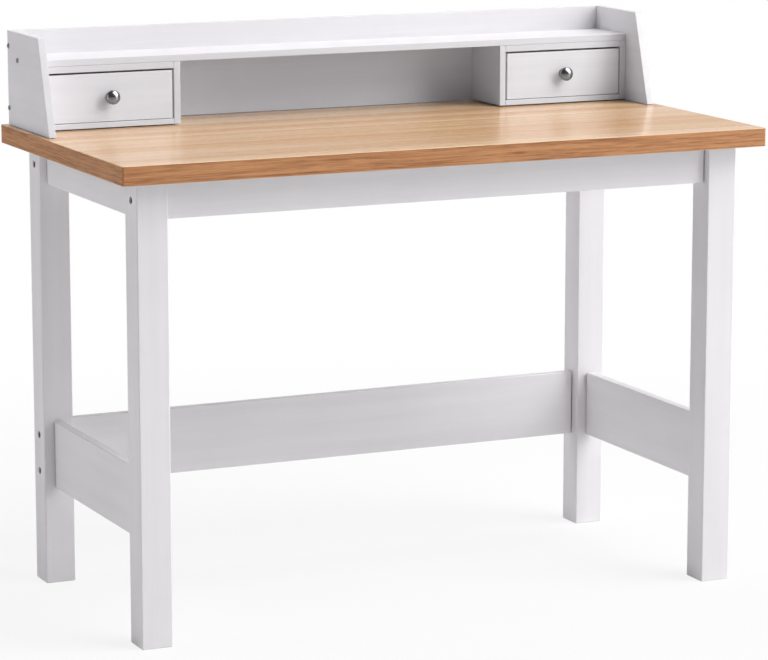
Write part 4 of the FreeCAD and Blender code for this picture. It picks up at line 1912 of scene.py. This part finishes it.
@dataclass
class Hardware:
    """Every bolt, nut, screw, dowel and bracket of the desk."""

    bolt_key: float = 0.005
    bolt_key_depth: float = 0.003
    cross_share: float = 0.55
    cross_width: float = 0.001
    cross_depth: float = 0.001
    chamfer: float = 0.0005
    nut_bore: float = 0.0061
    nut_slot_width: float = 0.0012
    bracket_node: str = "worktop_brackets"
    bracket_thick: float = 0.002
    bracket_end_share: float = 0.8
    models: dict[tuple[Style, int], FixingModel] = field(default_factory=dict)

    @staticmethod
    def kinds() -> list[FixingKind]:
        """Every kind of fixing, by its node.

        Returns:
            The kinds.
        """
        found = [
            FixingKind("frame_bolts", Style.SOCKET_BOLT, BLACK, head_height=0.006,
                       round_steps=48, hole_gap=0.0003, head_gap=0.0005),
            FixingKind("frame_barrel_nuts", Style.BARREL_NUT, ZINC, round_steps=40,
                       hole_gap=0.0001),
            FixingKind("frame_dowels", Style.DOWEL, BEECH),
            FixingKind("bracket_screws", Style.PAN_SCREW, ZINC, head_height=0.002),
            FixingKind("hutch_side_screws", Style.DOME_SCREW, SMOKED_ZINC, head_height=0.0028,
                       round_steps=48),
            FixingKind("hutch_back_screws", Style.SUNK_SCREW, ZINC, head_height=0.00175),
            FixingKind("hutch_base_screws", Style.SUNK_SCREW, ZINC, head_height=0.002),
            FixingKind("carcass_screws", Style.SUNK_SCREW, ZINC, head_height=0.00175),
            FixingKind("hutch_dowels", Style.DOWEL, BEECH),
        ]
        for hand in Hand:
            prefix = f"drawer_{hand.word}"
            found += [
                FixingKind(f"{prefix}_dowels", Style.DOWEL, BEECH, grain=Axis.Y),
                FixingKind(f"{prefix}_screws", Style.SUNK_SCREW, ZINC, head_height=0.0015),
                FixingKind(f"{prefix}_knob_screw", Style.PAN_SCREW, ZINC, head_height=0.002,
                           hole_gap=0.0003),
            ]
        return found

    def build(self, shop: Workshop) -> None:
        """Makes every fixing and bracket.

        Args:
            shop: the workshop.
        """
        for kind in shop.kinds:
            self.make(kind, shop)
        self.brackets(shop)

    def sizes(self, kind: FixingKind, fixing: Fixing) -> dict[str, float]:
        """The named inputs for one kind.

        Args:
            kind: the kind.
            fixing: one of its fixings.

        Returns:
            Each input's value.
        """
        socket = kind.style is Style.SOCKET_BOLT
        nut = kind.style is Style.BARREL_NUT
        return {
            "Length": fixing.length,
            "Head Diameter": fixing.wide,
            "Head Height": kind.head_height,
            "Shank Diameter": self.nut_bore if nut else fixing.slim,
            "Chamfer": self.chamfer,
            "Recess Span": self.bolt_key if socket else fixing.wide * self.cross_share,
            "Recess Width": self.nut_slot_width if nut else self.cross_width,
            "Recess Depth": self.bolt_key_depth if socket else self.cross_depth,
        }

    def make(self, kind: FixingKind, shop: Workshop) -> None:
        """Makes all the fixings of one node.

        Args:
            kind: what they have in common.
            shop: the workshop.
        """
        fixings = kind.fixings()
        key = (kind.style, kind.round_steps)
        if key not in self.models:
            self.models[key] = FixingModel(*key)
        values = {**self.sizes(kind, fixings[0]), "Material": kind.finish.material(kind.grain)}
        marks = [Mark(fixing.seat, fixing.axis) for fixing in fixings]
        self.finish(kind.node, marks, self.models[key], values, kind.finish, shop)

    def brackets(self, shop: Workshop) -> None:
        """Makes the angle brackets, each in the box of its solid.

        Args:
            shop: the workshop.
        """
        marks = []
        for points in solids_of(self.bracket_node):
            low, high = span_of(points)
            middle = (low + high) / 2
            at_end = abs(middle.x) > CAD_BOX[1].x * self.bracket_end_share
            along = (Axis.X if at_end else Axis.Y).value
            way = -math.copysign(1, middle[along])
            corner, axis = middle.copy(), Vector((0, 0, 0))
            corner.z = high.z
            corner[along] = low[along] if way > 0 else high[along]
            axis[along] = way
            marks.append(Mark(corner, axis))
        values = {"Thickness": self.bracket_thick, "Material": ZINC.material()}
        self.finish(self.bracket_node, marks, BracketModel(), values, ZINC, shop)

    @staticmethod
    def finish(
        node: str, marks: list[Mark], model: Model, values: dict[str, Any], finish: Finish,
        shop: Workshop,
    ) -> None:
        """Makes the piece of a node from its marks, and hands it over.

        Args:
            node: the node's name.
            marks: where each copy lies.
            model: the tree that makes them.
            values: what its named inputs hold.
            finish: the piece's finish.
            shop: the workshop.
        """
        piece = marked_points(f"{node}_made", marks)
        model.run(piece, values)
        shape = bmesh.new()
        shape.from_mesh(piece.data)
        face_outwards(shape)
        shape.to_mesh(piece.data)
        shape.free()
        smooth(piece)
        shop.hand_over(piece, node, finish)


# The studio


@dataclass(frozen=True)
class Lamp:
    """A square soft box that faces the desk.

    Its bearing is in degrees from the desk's front towards the right, and its rise is above
    the level.
    """

    name: str
    bearing: float
    rise: float
    distance: float
    side: float
    power: float
    aim: tuple[float, float, float] = (0.0, 0.0, 0.6)

    def build(self) -> None:
        """Hangs the lamp."""
        data = bpy.data.lights.new(self.name, "AREA")
        data.shape = "SQUARE"
        data.size = self.side
        data.energy = self.power
        lamp = bpy.data.objects.new(self.name, data)
        bearing, rise = math.radians(self.bearing), math.radians(self.rise)
        way = Vector((
            math.sin(bearing) * math.cos(rise), -math.cos(bearing) * math.cos(rise), math.sin(rise)
        ))
        lamp.location = Vector(self.aim) + way * self.distance
        lamp.rotation_mode = "QUATERNION"
        lamp.rotation_quaternion = (-way).to_track_quat("-Z", "Y")
        bpy.context.scene.collection.objects.link(lamp)


@dataclass
class Studio:
    """A white studio: a plain floor, soft boxes and the camera."""

    camera_place: tuple[float, float, float] = (-2.2889, -4.9659, 1.4326)
    camera_yaw: float = 24.781
    camera_pitch: float = -10.535
    focal_share: float = 4.4466
    sensor: float = 36.0
    floor_reach: float = 40.0
    floor_steps: int = 96
    floor_tone: Colour = tone(238, 237, 238)
    shadow_share: float = 0.17
    shadow_reach: Span = (1.1, 2.0)
    room_level: float = 0.12
    backdrop_level: float = 0.6
    dim_level: float = 0.09
    backdrop_way: tuple[float, float, float] = (0.42, 0.9, 0.12)
    backdrop_from: Span = (0.78, 0.93)
    lamps: tuple[Lamp, ...] = (
        Lamp("key", bearing=53, rise=50, distance=8.0, side=6.7, power=615.0),
        Lamp("low_key", bearing=52, rise=18, distance=8.0, side=3.8, power=200.0),
        Lamp("rear", bearing=180, rise=65, distance=3.4, side=1.8, power=30.0),
        Lamp("left", bearing=-110, rise=20, distance=4.0, side=3.0, power=44.0),
    )

    def build(self) -> None:
        """Sets up the camera, floor, lamps and room."""
        self.set_camera()
        self.lay_floor()
        for lamp in self.lamps:
            lamp.build()
        self.set_room()
        bpy.context.scene.view_settings.view_transform = "Standard"

    def set_camera(self) -> None:
        """Aims the camera from the front left."""
        data = bpy.data.cameras.new("camera")
        data.sensor_width = self.sensor
        data.lens = self.sensor * self.focal_share
        data.clip_end = self.floor_reach * 2
        camera = bpy.data.objects.new("camera", data)
        camera.location = self.camera_place
        camera.rotation_euler = (
            QUARTER_TURN + math.radians(self.camera_pitch), 0.0, math.radians(-self.camera_yaw)
        )
        bpy.context.scene.collection.objects.link(camera)
        bpy.context.scene.camera = camera

    def lay_floor(self) -> None:
        """Lays a round white floor that keeps a soft shadow near the desk."""
        shape = bmesh.new()
        bmesh.ops.create_circle(
            shape, cap_ends=True, segments=self.floor_steps, radius=self.floor_reach
        )
        floor = new_piece("floor", new_mesh("floor", shape))
        material = bpy.data.materials.new("studio_floor")
        graph = SurfaceGraph(cleared(material), Axis.X)
        inputs = {"Color": self.floor_tone, "Roughness": 0.0}
        plain = graph.node("ShaderNodeBsdfDiffuse", inputs=inputs)
        white = graph.node("ShaderNodeEmission", inputs={"Color": WHITE})
        away = graph.node("ShaderNodeVectorMath", {"operation": "LENGTH"}, {0: graph.place})
        far = Value(graph, find_socket(away.outputs, "Value")).ease(*self.shadow_reach)
        lit = 1 - (1 - far) * self.shadow_share
        shown = self.seen(graph, self.behind(graph, graph.place)) * lit
        inputs = {0: shown, 1: plain.outputs[0], 2: white.outputs[0]}
        mixed = graph.node("ShaderNodeMixShader", inputs=inputs)
        graph.node("ShaderNodeOutputMaterial", inputs={"Surface": mixed.outputs[0]})
        floor.data.materials.append(material)

    def behind(self, graph: Graph, place: Any) -> Value:
        """How bright a gloss shows the room: most on the backdrop, and dim elsewhere.

        Args:
            graph: the nodes that it goes into.
            place: the point or the direction that is looked at.

        Returns:
            The level.
        """
        way = graph.node("ShaderNodeVectorMath", {"operation": "NORMALIZE"}, {0: place})
        facing = graph.node(
            "ShaderNodeVectorMath",
            {"operation": "DOT_PRODUCT"},
            {0: way.outputs[0], 1: self.backdrop_way},
        )
        share = Value(graph, find_socket(facing.outputs, "Value")).ease(*self.backdrop_from)
        return share * (self.backdrop_level - self.dim_level) + self.dim_level

    @staticmethod
    def seen(graph: Graph, behind: Amount) -> Value:
        """How far a ray shows the white of the room.

        Args:
            graph: the nodes that it goes into.
            behind: how white a gloss shows the room.

        Returns:
            1 for rays from the camera or through glass, and behind for those off metal.
        """
        camera, glossy, clear = graph.rays("Camera", "Glossy", "Transmission")
        return graph.maths("MINIMUM", camera + glossy * behind + clear, 1.0)

    def set_room(self) -> None:
        """Makes the room: white where it shows, plain and dim as a light."""
        world = bpy.data.worlds.new("room")
        graph = Graph(cleared(world))
        bpy.context.scene.world = world
        place = graph.node("ShaderNodeTexCoord").outputs["Generated"]
        seen = self.seen(graph, self.behind(graph, place))
        level = seen + (1 - self.seen(graph, 1.0)) * self.room_level
        light = graph.node("ShaderNodeBackground", inputs={"Color": WHITE, "Strength": level})
        graph.node("ShaderNodeOutputWorld", inputs={"Surface": light.outputs[0]})


def main() -> None:
    """Builds the studio and then the desk, one sub-assembly after another."""
    logging.basicConfig(level=logging.INFO, format="%(message)s", stream=sys.stdout)
    Studio().build()
    shop = Workshop(Hardware.kinds())
    Worktop().build(shop)
    DeskFrame().build(shop)
    Hutch().build(shop)
    for hand in Hand:
        Drawer(hand).build(shop)
    Hardware().build(shop)


if __name__ == "__main__":
    main()
